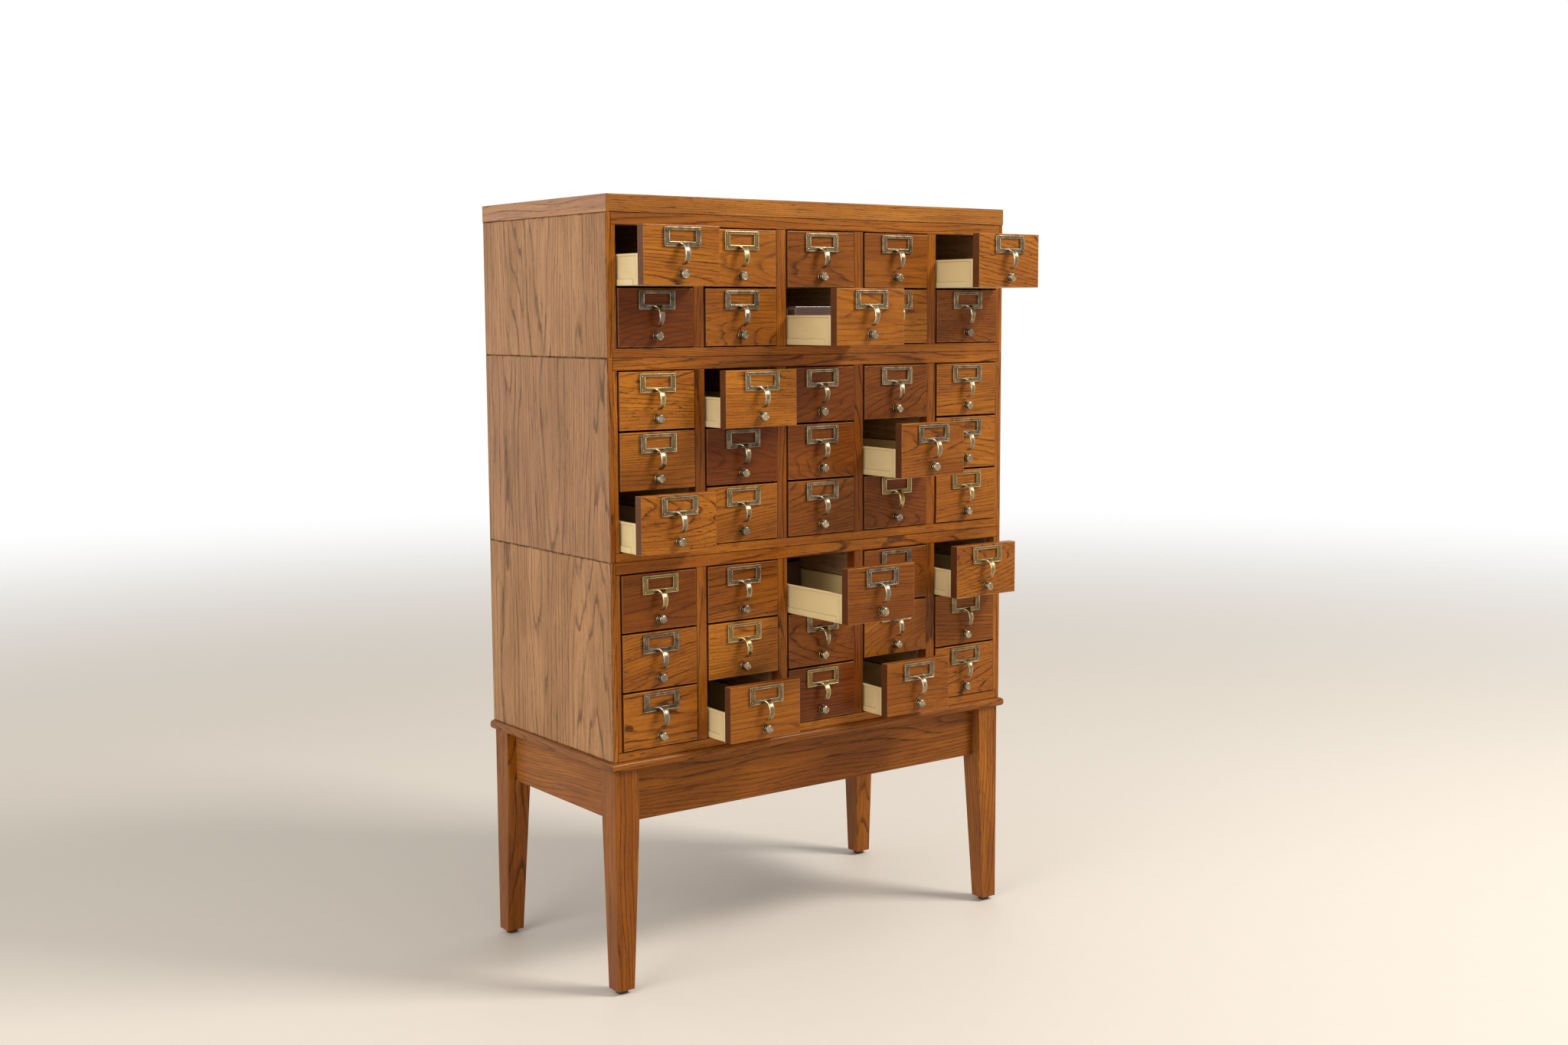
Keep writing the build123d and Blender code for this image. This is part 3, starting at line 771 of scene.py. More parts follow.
def board(name, low, high, along, material=oak_case, slot="oak_case", ease=0.5 * MM, tone=None,
          staves=1, lean=0.02, figure=0.9, lipping=0.0, edges_show=True):
    """A square-cut board with eased edges, between two corners, on the cabinet."""
    bm = box_bmesh(low, high)
    round_edges(bm, bm.edges[:], ease)
    others = (axis for axis in range(3) if axis != along)
    across = max(others, key=lambda axis: high[axis] - low[axis])
    for stave in range(1, staves):
        cut_at(bm, across, low[across] + (high[across] - low[across]) * stave / staves)
    near, far = low[along] + lipping, high[along] - lipping

    def in_lipping(polygon):
        return not near < polygon.center[along] < far

    if lipping:
        cut_at(bm, along, near)
        cut_at(bm, along, far)
    mesh = close_bmesh(bm, name)
    cuts = [tree_cut(lean, *BOARD_PITH) for _ in range(staves)]
    tone = chance.uniform(*PALE_TONES) if tone is None else tone
    is_crosswise = in_lipping if lipping else None
    lay_grain(mesh, low, high, along, tone, cuts, edges_show, figure, is_crosswise)
    return place_piece(name, mesh, material, CABINET)


print("grain helpers ready, seed", SEED)

# %% [markdown]
# ## The three cases
# A case is a box of boards: two sides, a face frame of rails and stiles, a back, a floor, a top,
# and a partition behind each middle stile. Each board is a piece of its own, with its grain along
# it. The side panels stop a little short of the front, for the strips that are added at the end.

# %% Case boards
CASES = ("lower_case", "middle_case", "upper_case")
SIDE_BOARD = 7.0 * MM
SIDE_STRIP = 3.0 * MM
OUTER_STILE = 8.0 * MM
MID_STILE = 19.6 * MM
TOP_RAIL = 19.6 * MM
BOTTOM_RAIL = 15.5 * MM
FRAME_DEPTH = 18.0 * MM
PANEL = 6.5 * MM
BACK_PANEL = 6.0 * MM
PARTITION = 12.0 * MM
FRAME_EASE = 1.1 * MM
SIDE_TONES = {"upper_case": 0.02, "middle_case": 0.2, "lower_case": 0.0}
# Some dark stiles in the middle and lower cases are partly painted shade cast by drawn-out drawers.
STILE_TONE_AND_SHADE = {"upper_case": (0.62, 0.06, 0.3, 0.06), "middle_case": (0.62, 0.62, 0.62, 0.3),
               "lower_case": (0.3, 0.3, 0.62, 0.3)}
TONE_SPREAD = 0.05
BACK_TONE = 0.3
SIDE_LOOK = {"ease": FRAME_EASE, "staves": 3, "lean": 0.012, "figure": 0.66}
column_x = [places[f"r1c{column}"].x for column in COLUMNS]
PITCH = column_x[1] - column_x[0]
gap_x = [x + PITCH / 2 for x in column_x[:-1]]
inner = CASE_HALF - SIDE_BOARD
frame_back = CASE_FRONT + FRAME_DEPTH
panel_front = CASE_BACK - BACK_PANEL


def at_both_ends(edge, width):
    """The name and the span in x of a board at the left end and of its twin at the right."""
    for name, side in (("left", -1), ("right", 1)):
        yield name, *sorted((side * edge, side * (edge - width)))


def case_frame(case, low_z, high_z):
    """The face frame of a case."""
    stile_low, stile_high = low_z + BOTTOM_RAIL, high_z - TOP_RAIL
    rails = {"bottom_rail": (low_z, stile_low), "top_rail": (stile_high, high_z)}
    for name, (rail_low, rail_high) in rails.items():
        board(f"{case}_{name}", (-inner, CASE_FRONT, rail_low), (inner, frame_back, rail_high),
              ALONG_X, oak_rail, ease=FRAME_EASE)
    for gap, x in enumerate(gap_x):
        tone = STILE_TONE_AND_SHADE[case][gap] + chance.uniform(-TONE_SPREAD, TONE_SPREAD)
        board(f"{case}_stile_{gap + 1}", (x - MID_STILE / 2, CASE_FRONT, stile_low),
              (x + MID_STILE / 2, frame_back, stile_high), ALONG_Z, tone=tone)
    for name, near, far in at_both_ends(inner, OUTER_STILE):
        board(f"{case}_outer_stile_{name}", (near, CASE_FRONT, stile_low),
              (far, frame_back, stile_high), ALONG_Z)


def case_shell(case, low_z, high_z):
    """The sides, back, floor, top and partitions. The left side stands for the measured case."""
    sides = [board(f"{case}_side_{name}", (near, CASE_FRONT + SIDE_STRIP, low_z),
                   (far, CASE_BACK, high_z), ALONG_Z, oak_side, tone=SIDE_TONES[case],
                   **SIDE_LOOK)
             for name, near, far in at_both_ends(CASE_HALF, SIDE_BOARD)]
    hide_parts(case)
    board(f"{case}_back", (-inner, panel_front, low_z), (inner, CASE_BACK, high_z), ALONG_Z,
          tone=BACK_TONE, staves=4)
    for name, floor_z in (("floor", low_z), ("ceiling", high_z - PANEL)):
        board(f"{case}_{name}", (-inner, frame_back, floor_z),
              (inner, panel_front, floor_z + PANEL), ALONG_X, inside_painted_shade, "plain_wood")
    for gap, x in enumerate(gap_x, 1):
        board(f"{case}_partition_{gap}", (x - PARTITION / 2, frame_back, low_z + PANEL),
              (x + PARTITION / 2, panel_front, high_z - PANEL), ALONG_Y, inside_painted_shade,
              "plain_wood")


for case in CASES:
    low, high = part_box(case)
    case_shell(case, low.z, high.z)
    case_frame(case, low.z, high.z)
    print(case, "from", round(low.z, 4), "to", round(high.z, 4))

# %% Two old staples
STAPLE = Vector((9.0, 0.5, 1.3)) * MM
STAPLE_STEPS = (27 * MM, 49 * MM)
STAPLE_SLANTS = (-2, -7)
STAPLE_PROUD = 0.3 * MM
STAPLE_EASE = 0.15 * MM
staple_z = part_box("lower_case")[0].z + BOTTOM_RAIL / 2
for number, (step, degrees) in enumerate(zip(STAPLE_STEPS, STAPLE_SLANTS), 1):
    low = Vector((-CASE_HALF + step, CASE_FRONT - STAPLE_PROUD, staple_z))
    bm = box_bmesh(low, low + STAPLE)
    slant = Matrix.Rotation(math.radians(degrees), 3, "Y")
    ops.rotate(bm, cent=low, matrix=slant, verts=bm.verts)
    round_edges(bm, bm.edges[:], STAPLE_EASE)
    place_piece(f"old_staple_{number}", close_bmesh(bm, "staple"), staple_steel, CABINET)
print("staples", len(STAPLE_STEPS))

# %% [markdown]
# ## Top board and stand
# The top is glued up from staves, with a thin lipping over its end grain. The board under the cases
# has a rounded nose on its front and sides, and strips across its two ends, mitred at the front.
# The legs keep two straight outer faces and taper on the inner ones below the apron: a box is cut
# once where the apron ends, and the inner corners of its foot are pulled in.

# %% Top board
TOP_EASE = 1.0 * MM
TOP_TONE = 0.05
LIPPING = 4.0 * MM
low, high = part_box("top_board")
top_board = board("top_board_dressed", low, high, ALONG_X, oak_top, "oak_top", TOP_EASE,
                  TOP_TONE, staves=4, lipping=LIPPING)
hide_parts("top_board")
print("top board", [round(edge, 3) for edge in high - low])

# %% Stand top
NOSE_RADIUS, NOSE_STEPS = 6.5 * MM, 5
NOSE_TONE, NOSE_FIGURE = 0.25, 0.8
END_STRIP = 30 * MM
low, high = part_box("stand_top")
nose_bm = box_bmesh(low, high)
back_edges = set(flat_at(nose_bm, ALONG_Y, high.y))
rims = flat_at(nose_bm, ALONG_Z, low.z) + flat_at(nose_bm, ALONG_Z, high.z)
round_edges(nose_bm, [edge for edge in rims if edge not in back_edges], NOSE_RADIUS,
            NOSE_STEPS)
for side in (-1, 1):
    cut_across(nose_bm, (side * high.x, low.y, 0), (side, 1, 0))
    cut_at(nose_bm, ALONG_X, side * (high.x - END_STRIP))
nose_mesh = close_bmesh(nose_bm, "stand_top", STAMPED_SMOOTH)


def in_end_strip(polygon):
    """Whether a face is on one of the mitred strips at the ends."""
    from_end = high.x - abs(polygon.center.x)
    return from_end < END_STRIP and from_end < polygon.center.y - low.y


lay_grain(nose_mesh, low, high, ALONG_X, NOSE_TONE, [tree_cut(*NOSE_CUT)], edges_show=False,
          figure=NOSE_FIGURE, is_crosswise=in_end_strip)
stand_top = place_piece("stand_top_dressed", nose_mesh, oak_stand, CABINET)
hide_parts("stand_top")
print("stand top faces", len(nose_mesh.polygons))

# %% Legs
LEG_TOP = Vector((45.0, 43.0)) * MM
FOOT = Vector((32.0, 30.0)) * MM
APRON_HEIGHT = 90.0 * MM
LEG_EASE = 1.2 * MM
LEG_FIGURE = 0.75
leg_low, leg_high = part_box("stand_legs")
apron_low_z = leg_high.z - APRON_HEIGHT
corners = {"front_left": (-1, -1), "front_right": (1, -1), "back_left": (-1, 1),
           "back_right": (1, 1)}


def outer_corner(side_x, side_y):
    """The corner of the stand's plan on the given sides."""
    return Vector((leg_high.x * side_x, leg_high.y if side_y > 0 else leg_low.y))


def leg_piece(name, sides):
    """A leg with straight outer faces and tapered inner faces."""
    outer = outer_corner(*sides)
    inwards = outer - Vector(sides) * LEG_TOP
    low = Vector((min(outer.x, inwards.x), min(outer.y, inwards.y), leg_low.z))
    high = Vector((max(outer.x, inwards.x), max(outer.y, inwards.y), leg_high.z))
    bm = box_bmesh(low, high)
    cut_at(bm, ALONG_Z, apron_low_z)
    for vert in bm.verts:
        for axis, side in enumerate(sides):
            if vert.co.z < leg_low.z + MM and abs(vert.co[axis] - inwards[axis]) < MM:
                vert.co[axis] += side * (LEG_TOP[axis] - FOOT[axis])
    round_sharp(bm, SHARP_LEG, LEG_EASE)
    mesh = close_bmesh(bm, name)
    lay_grain(mesh, low, high, ALONG_Z, chance.uniform(*PALE_TONES), [tree_cut(*LEG_CUT)],
              edges_show=False, figure=LEG_FIGURE)
    return place_piece(name, mesh, oak_stand, CABINET)


legs = [leg_piece(f"leg_{name}", sides) for name, sides in corners.items()]
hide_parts("stand_legs")
print("legs", [leg.name for leg in legs])

# %% Aprons and corner blocks
APRON_THICK = 19.0 * MM
APRON_RECESS = 17.0 * MM
APRON_EASE = 0.8 * MM
BLOCK_NEAR, BLOCK_FAR, BLOCK_DROP = 60.0 * MM, 90.0 * MM, 20.0 * MM
# Each apron runs along an axis on one side of the stand, with a tone, a lean and a figure.
APRONS = {"front": (ALONG_X, -1, 0.36, 0.05, 0.8), "back": (ALONG_X, 1, 0.3, 0.03, 0.8),
          "left": (ALONG_Y, -1, 0.0, 0.03, 0.45), "right": (ALONG_Y, 1, 0.1, 0.03, 0.45)}


def apron(name, along, side, tone, lean, figure):
    """An apron between two legs, set back from their faces."""
    cross = ALONG_Y if along == ALONG_X else ALONG_X
    low, high = Vector(leg_low), Vector(leg_high)
    low[along] += LEG_TOP[along]
    high[along] -= LEG_TOP[along]
    low.z = apron_low_z
    if side < 0:
        low[cross] += APRON_RECESS
        high[cross] = low[cross] + APRON_THICK
    else:
        high[cross] -= APRON_RECESS
        low[cross] = high[cross] - APRON_THICK
    return board(name, low, high, along, oak_stand, "oak_stand", APRON_EASE, tone, lean=lean,
                 figure=figure)


def corner_block(name, sides):
    """A block across an inner corner of the stand."""
    corner = outer_corner(*sides)
    wall = APRON_RECESS + APRON_THICK
    plan = [(BLOCK_NEAR, wall), (BLOCK_FAR, wall), (wall, BLOCK_FAR), (wall, BLOCK_NEAR)]
    bm = bmesh.new()
    ring = [(*(corner - Vector(sides) * Vector(spot)), apron_low_z + BLOCK_DROP) for spot in plan]
    foot = bm.faces.new([bm.verts.new(spot) for spot in ring])
    grown = ops.extrude_face_region(bm, geom=[foot])["geom"]
    ops.translate(bm, vec=(0, 0, APRON_HEIGHT - BLOCK_DROP), verts=new_verts(grown))
    return place_piece(name, close_bmesh(bm, name), batten_wood, CABINET)


front_apron, *others = [apron(f"apron_{name}", *settings) for name, settings in APRONS.items()]
blocks = [corner_block(f"corner_block_{name}", sides) for name, sides in corners.items()]
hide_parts("stand_aprons")
print("aprons", 1 + len(others), "corner blocks", len(blocks))

# %% [markdown]
# ## Glides, battens and bolts
# A glide is a round shape: half its outline is drawn as a few points and spun about its middle, as
# the knobs are later. The battens and bolts are simple and hidden, so the measured pieces stay and
# only get their materials.

# %% Turned shapes
TURN_STEPS = 32
GLIDE_RADIUS = 10.0 * MM
GLIDE_HEIGHT = leg_low.z
GLIDE_OUTLINE = [(0, 0), (0, GLIDE_RADIUS - 1.8 * MM), (0.6 * MM, GLIDE_RADIUS - 0.6 * MM),
                 (1.6 * MM, GLIDE_RADIUS), (GLIDE_HEIGHT, GLIDE_RADIUS), (GLIDE_HEIGHT, 0)]


def turned(outline, centre, axis, side, steps=TURN_STEPS):
    """Spin an outline of (distance along the axis, radius) into a closed round shape."""
    bm = bmesh.new()
    verts = [bm.verts.new(Vector(centre) + Vector(axis) * reach + Vector(side) * radius)
             for reach, radius in outline]
    chain = [bm.edges.new(pair) for pair in zip(verts, verts[1:])]
    ops.spin(bm, geom=verts + chain, cent=centre, axis=axis, angle=2 * math.pi, steps=steps,
             use_merge=True)
    ops.remove_doubles(bm, verts=bm.verts, dist=CLOSE)
    return bm


for name, sides in corners.items():
    spot = (outer_corner(*sides) - Vector(sides) * FOOT / 2).to_3d()
    bm = turned(GLIDE_OUTLINE, spot, (0, 0, 1), (1, 0, 0))
    mesh = close_bmesh(bm, name, TURNED_SMOOTH)
    place_piece(f"glide_{name}", mesh, glide_rubber, CABINET)
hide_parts("floor_glides")
for node, material in (("drawer_runners", batten_wood), ("joining_bolts", bolt_steel)):
    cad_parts[node].data.materials.clear()
    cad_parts[node].data.materials.append(material)

# %% [markdown]
# ## Drawer fronts
# An oak board with an eased face and a hole for the card rod is cut once, and each drawer gets a
# copy with its own grain. The tones are listed in seven steps from golden to the darkest brown; on
# a few fronts beside or below a drawn-out drawer the dark tone is partly painted shade of that
# drawer.
# A front that isn't in the notes is golden, with middling figure.

# %% Oak fronts
FRONT = Vector((142.0, 16.5, 92.5)) * MM
FRONT_EASE, FRONT_STEPS = 0.9 * MM, 3
BACK_EASE = 0.4 * MM
ROD_HEIGHT = 17.2 * MM
ROD_HOLE = 2.8 * MM
HOLE_STEPS = 20
GOLDEN_TONE, MIDDLING_FIGURE = 0.06, 0.75
# r4c2, r4c3 and r8c3 are darker partly as painted shade cast by the drawn-out drawer above or
# beside.
TONE_AND_SHADE_NOTES = {0.92: "r2c1 r3c3 r4c2 r8c3", 0.78: "r3c4 r4c3 r5c4 r6c1",
              0.62: "r1c3 r2c5 r5c3 r6c2 r6c3 r6c4 r7c3 r7c5", 0.46: "r1c4 r4c4 r8c4",
              0.3: "r2c2 r2c3 r4c1 r5c2 r6c5 r7c1 r7c4 r8c2 r8c5", 0.2: "r3c5 r8c1"}
FIGURE_NOTES = {1.0: "r1c1 r1c5 r3c1 r3c5 r5c1 r6c2 r6c5 r7c1 r8c1 r8c5",
                0.4: "r1c2 r1c4 r2c1 r2c3 r3c3 r4c2 r4c3 r6c1 r7c4 r8c2 r8c4"}


def by_drawer(notes):
    """Turn notes of a value and its drawers into a value for each drawer."""
    return {tag: value for value, names in notes.items() for tag in names.split()}


def on_drawer(kind, tag, mesh, material, body=None):
    """Show a piece that belongs to a drawer and is named after it."""
    return place_piece(f"{kind}_{tag}", mesh, material, body or f"drawer_{tag}")


def with_hole(mesh, cutter):
    """Cut one closed mesh out of another."""
    pair = [show("board", mesh), show("cutter", cutter)]
    cut = pair[0].modifiers.new("hole", "BOOLEAN")
    cut.object = pair[1]
    cut.solver = "EXACT"
    bpy.context.view_layer.update()
    graph = bpy.context.evaluated_depsgraph_get()
    result = bpy.data.meshes.new_from_object(pair[0].evaluated_get(graph))
    for item in pair:
        bpy.data.objects.remove(item)
    return result


def bare_front():
    """The cut front with its face at y = 0 and its lower edge at z = 0."""
    bm = box_bmesh((-FRONT.x / 2, 0, 0), (FRONT.x / 2, FRONT.y, FRONT.z))
    round_edges(bm, flat_at(bm, ALONG_Y, 0), FRONT_EASE, FRONT_STEPS)
    round_edges(bm, flat_at(bm, ALONG_Y, FRONT.y), BACK_EASE)
    mesh = close_bmesh(bm, "bare_front")
    drill = turned([(-MM, 0), (-MM, ROD_HOLE), (FRONT.y + MM, ROD_HOLE), (FRONT.y + MM, 0)],
                   (0, 0, ROD_HEIGHT), (0, 1, 0), (1, 0, 0), HOLE_STEPS)
    return with_hole(mesh, close_bmesh(drill, "drill"))


front_blank = bare_front()
tones_and_shade, figures = by_drawer(TONE_AND_SHADE_NOTES), by_drawer(FIGURE_NOTES)
for tag, spot in places.items():
    mesh = moved(front_blank, spot)
    low = spot - Vector((FRONT.x / 2, 0, 0))
    tone = tones_and_shade.get(tag, GOLDEN_TONE) + chance.uniform(-TONE_SPREAD, TONE_SPREAD)
    lay_grain(mesh, low, low + FRONT, ALONG_X, tone, [tree_cut(*FRONT_CUT)],
              figure=figures.get(tag, MIDDLING_FIGURE))
    piece = on_drawer("front", tag, mesh, oak_front)
    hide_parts(f"drawer_{tag}")
print("fronts", len(places), "faces each", len(front_blank.polygons))

# %% [markdown]
# ## Card trays
# The walls of a tray lean a little so that it leaves its mould, and each long side is sunk between
# the rim, a post at each end and a ledge along the foot that stops short of the front post. The
# side faces are cut by a few planes, and the sunk part is pushed in with an inset.

# %% Trays
TRAY = Vector((139.0, 378.0, 49.0)) * MM
TRAY_WALL = 4.0 * MM
TRAY_FLOOR = 2.5 * MM
TRAY_DRAFT = 0.6 * MM
RIM = 3.5 * MM
LEDGE = 10.0 * MM
POST = 7.0 * MM
LEDGE_STOP = 10.5 * MM
PANEL_SINK = 1.5 * MM
PANEL_SLOPE = 0.5 * MM
TRAY_EASE = 0.4 * MM
STEP_SLOPE, STEP_MARGIN, STEP_UNDER_RIM = (0.1, 0.95), 0.1 * MM, 0.3 * MM
tray_near, tray_far = FRONT.y, FRONT.y + TRAY.y
post_near, post_far, ledge_near = tray_near + POST, tray_far - POST, tray_near + POST + LEDGE_STOP


def side_faces(bm, half):
    """The faces at half the width from the middle, on both sides."""
    return [face for face in bm.faces
            if abs(abs(face.calc_center_median().x) - half) < NEARBY]


def is_sunk(face):
    """Whether a side face of the tray is one of those pushed in."""
    spot = face.calc_center_median()
    above_ledge = LEDGE < spot.z < TRAY.z - RIM
    before_ledge = spot.z < LEDGE and spot.y < ledge_near
    return post_near < spot.y < post_far and (above_ledge or before_ledge)


def bare_tray():
    """The tray behind a front whose face is at y = 0."""
    bm = box_bmesh((-TRAY.x / 2, tray_near, 0), (TRAY.x / 2, tray_far, TRAY.z))
    mouth = max(bm.faces, key=lambda face: face.calc_center_median().z)
    for thickness, depth in ((TRAY_WALL, 0), (TRAY_DRAFT, TRAY_FLOOR - TRAY.z)):
        ops.inset_region(bm, faces=[mouth], thickness=thickness, depth=depth,
                         use_even_offset=True)
    for axis, value in ((ALONG_Z, LEDGE), (ALONG_Z, TRAY.z - RIM), (ALONG_Y, post_near),
                        (ALONG_Y, ledge_near), (ALONG_Y, post_far)):
        cut_at(bm, axis, value, side_faces(bm, TRAY.x / 2))
    sunk = [face for face in side_faces(bm, TRAY.x / 2) if is_sunk(face)]
    ops.inset_region(bm, faces=sunk, thickness=PANEL_SLOPE, depth=-PANEL_SINK,
                     use_even_offset=True)
    round_sharp(bm, SHARP_TRAY, TRAY_EASE)
    return close_bmesh(bm, "bare_tray", MOULDED_SMOOTH)


def is_step(polygon):
    """Whether a face of the tray is a slope between a sunk panel and what stands round it."""
    centre = polygon.center
    sloping = STEP_SLOPE[0] < abs(polygon.normal.x) < STEP_SLOPE[1]
    outside = abs(centre.x) > TRAY.x / 2 - PANEL_SINK - STEP_MARGIN
    low_enough = centre.z < TRAY.z - RIM + STEP_UNDER_RIM
    return sloping and outside and low_enough and POST < centre.y - FRONT.y < TRAY.y - POST


tray_blank = bare_tray()
# The slopes round the sunk panels carry painted shade.
steps = [float(is_step(polygon)) for polygon in tray_blank.polygons for _ in polygon.loop_indices]
write_attribute(tray_blank, "step_shade", "FLOAT", steps)
for tag, spot in places.items():
    on_drawer("tray", tag, moved(tray_blank, spot), tray_plastic)
print("trays", len(places), "faces each", len(tray_blank.polygons))

# %% [markdown]
# ## Label holders and finger pulls
# Holder and pull are one stamping. The holder is a frame: one closed row of edges at its back is
# extruded again and again, over the raised rim, through the sunk field, over the lip of the window
# and back inside. The pull starts as a row of points across its root, spun about a level axis. Its
# width is then set by how far it has come out: wide at the root, narrow on the tongue, rounded at
# the tip.

# %% Label holder
HOLDER = Vector((68.0, 3.4, 30.2)) * MM
HOLDER_DROP = 3.2 * MM
WINDOW = Vector((47.8, 0, 17.4)) * MM
WINDOW_DROP = 5.0 * MM
HOLDER_CORNER, TIGHTEST_CORNER, WINDOW_CORNER = 1.5 * MM, 0.2 * MM, 0.3 * MM
CORNER_STEPS = 4
# Steps of the profile: how far in from the outline or out from the window, and how far forward.
RIM_PROFILE = [(0, 0), (0, -3.0), (0.15, -3.3), (0.45, -3.4), (1.05, -3.4), (1.35, -3.15),
               (1.6, -2.6)]
LIP_PROFILE = [(1.3, -2.6), (1.1, -3.15), (0.85, -3.4), (0.4, -3.4), (0.12, -3.3), (0, -3.0),
               (0, 0)]
holder_top = FRONT.z - HOLDER_DROP
holder_foot = holder_top - HOLDER.z
window_top = holder_top - WINDOW_DROP
window_foot = window_top - WINDOW.z


def outline(half, low_z, high_z, y, corner):
    """Spots round a rectangle with round corners that faces the front."""
    inner_x, inner_low, inner_high = half - corner, low_z + corner, high_z - corner
    centres = ((inner_x, inner_high), (-inner_x, inner_high), (-inner_x, inner_low),
               (inner_x, inner_low))
    spots = []
    for quarter, (x, z) in enumerate(centres):
        centre = Vector((x, y, z))
        for step in range(CORNER_STEPS):
            angle = math.pi / 2 * (quarter + step / (CORNER_STEPS - 1))
            spots.append(centre + Vector((math.cos(angle), 0, math.sin(angle))) * corner)
    return spots


def holder_outlines():
    """The frame's outlines from its back over the rim, through the field and into the window."""
    for inset, y in RIM_PROFILE:
        step = inset * MM
        yield outline(HOLDER.x / 2 - step, holder_foot + step, holder_top - step, y * MM,
                      max(HOLDER_CORNER - step, TIGHTEST_CORNER))
    for outset, y in LIP_PROFILE:
        step = outset * MM
        yield outline(WINDOW.x / 2 + step, window_foot - step, window_top + step, y * MM,
                      WINDOW_CORNER + step)


def extruded(bm, row, edges, spots):
    """Extrude a closed row of vertices to new spots."""
    grown = ops.extrude_edge_only(bm, edges=edges)["geom"]
    fresh = set(new_verts(grown))
    row = [next(edge.other_vert(vert) for edge in vert.link_edges if edge.other_vert(vert) in fresh)
           for vert in row]
    for vert, spot in zip(row, spots):
        vert.co = spot
    return row, [item for item in grown
                 if isinstance(item, bmesh.types.BMEdge) and fresh.issuperset(item.verts)]


def holder_bmesh():
    """The frame round the label's window."""
    bm = bmesh.new()
    outlines = list(holder_outlines())
    row = [bm.verts.new(spot) for spot in outlines[0]]
    edges = [bm.edges.new(pair) for pair in zip(row, row[1:] + row[:1])]
    for spots in outlines[1:] + outlines[:1]:
        row, edges = extruded(bm, row, edges, spots)
    ops.remove_doubles(bm, verts=bm.verts, dist=CLOSE)
    return bm


print("window foot", round(window_foot, 4))

# %% Finger pull
PULL_RADIUS = 17.3 * MM
PULL_SHEET = 1.8 * MM
PULL_OFFSET = 0.6 * MM
PULL_HALF = 4.4 * MM
PULL_EASE = 0.4 * MM
FLARE_RADIUS = 10.0 * MM
PULL_TURN = math.radians(90 + 78)
PULL_STEPS = 30
PULL_BEAD, BEAD_POWER = 0.5 * MM, 5
TONGUE_SLIMMING, TIP_SLIMMING, TIP_SHARE = 0.26, 0.3, 0.16
ACROSS = (-1.0, -0.93, -0.82, -0.6, -0.3, 0.0, 0.3, 0.6, 0.82, 0.93, 1.0)
arch_centre = Vector((0, -PULL_OFFSET, window_foot - PULL_RADIUS - PULL_SHEET / 2))


def pull_half_width(point):
    """Half the width of the pull at a point of its arch."""
    out = max(0.0, -point.y - HOLDER.y)
    flare = PULL_HALF
    if point.z > arch_centre.z and out < FLARE_RADIUS:
        flare += FLARE_RADIUS - math.sqrt(FLARE_RADIUS ** 2 - (FLARE_RADIUS - out) ** 2)
    turned_past = max(0.0, math.atan2(arch_centre.z - point.z, arch_centre.y - point.y))
    slim = turned_past / (PULL_TURN - math.pi / 2)
    at_tip = max(0.0, slim - (1 - TIP_SHARE)) / TIP_SHARE
    return flare * (1 - TONGUE_SLIMMING * slim - TIP_SLIMMING * at_tip)


def pull_bmesh():
    """The curled sheet of the finger pull with a faint bead along its sides."""
    bm = bmesh.new()
    top = arch_centre + Vector((0, 0, PULL_RADIUS + PULL_SHEET / 2 - PULL_BEAD))
    row = [bm.verts.new(top + Vector((share, 0, PULL_BEAD * abs(share) ** BEAD_POWER)))
           for share in ACROSS]
    chain = [bm.edges.new(pair) for pair in zip(row, row[1:])]
    ops.spin(bm, geom=row + chain, cent=arch_centre, axis=(1, 0, 0), angle=PULL_TURN,
             steps=PULL_STEPS)
    for vert in bm.verts:
        vert.co.x *= pull_half_width(vert.co)
    ops.recalc_face_normals(bm, faces=bm.faces)
    ops.solidify(bm, geom=bm.faces[:], thickness=PULL_SHEET)
    ops.recalc_face_normals(bm, faces=bm.faces)
    round_sharp(bm, SHARP_METAL, PULL_EASE)
    return bm


pull_blank = close_bmesh(pull_bmesh(), "pull", STAMPED_SMOOTH)
pull_corners = [vert.co for vert in pull_blank.vertices]
print("pull reach", round(-min(spot.y for spot in pull_corners), 4),
      "tip", round(min(spot.z for spot in pull_corners), 4))

# %% [markdown]
# ## Joining holder and pull, and the four pins
# Two closed shells that run into each other look like one stamping. The ridge attribute is written
# by place: the sunk field is 0 and the rims are 1. The pull is dark at its root, a painted dark
# reflection, and bright along its sides, partly wear and partly a painted highlight. A pin is a
# small turned head in each corner of the field, its crown painted bright as a highlight.

# %% Fittings on each front
PIN_RADIUS = 1.5 * MM
PIN_X = 29.6 * MM
PIN_INSET = 4.2 * MM
PIN_STEPS = 12
PIN_OUTLINE = [(0, 0), (0, PIN_RADIUS), (0.5 * MM, PIN_RADIUS), (1.0 * MM, 0.8 * PIN_RADIUS),
               (1.35 * MM, 0.42 * PIN_RADIUS), (1.45 * MM, 0)]
FIELD_Y = -2.6 * MM
FIELD_REACH, FIELD_FACING = (-0.45 * MM, 0.1 * MM), 0.3
# The pull's sides are bright partly from wear and partly as a painted highlight; its root is a
# painted dark reflection.
BRIGHT_SIDE_SHARE, BEND_TURN = 0.78, math.radians(60)
GILT_RANGE, ROD_GILT_RANGE = (0.3, 0.65), (0.1, 0.6)
PIN_HIGHLIGHT_FACING = -0.7
PULL_SIDE_WEAR_AND_HIGHLIGHT, PULL_BEND_RIDGE, PULL_ROOT_DARK_REFLECTION = 1.15, 0.55, -0.2
GILT_NOTES = {0.95: "r1c2 r3c1 r5c4 r5c5 r6c1 r6c5 r7c2 r8c3",
              0.1: "r2c1 r4c2 r6c3 r6c4 r7c1 r8c1"}


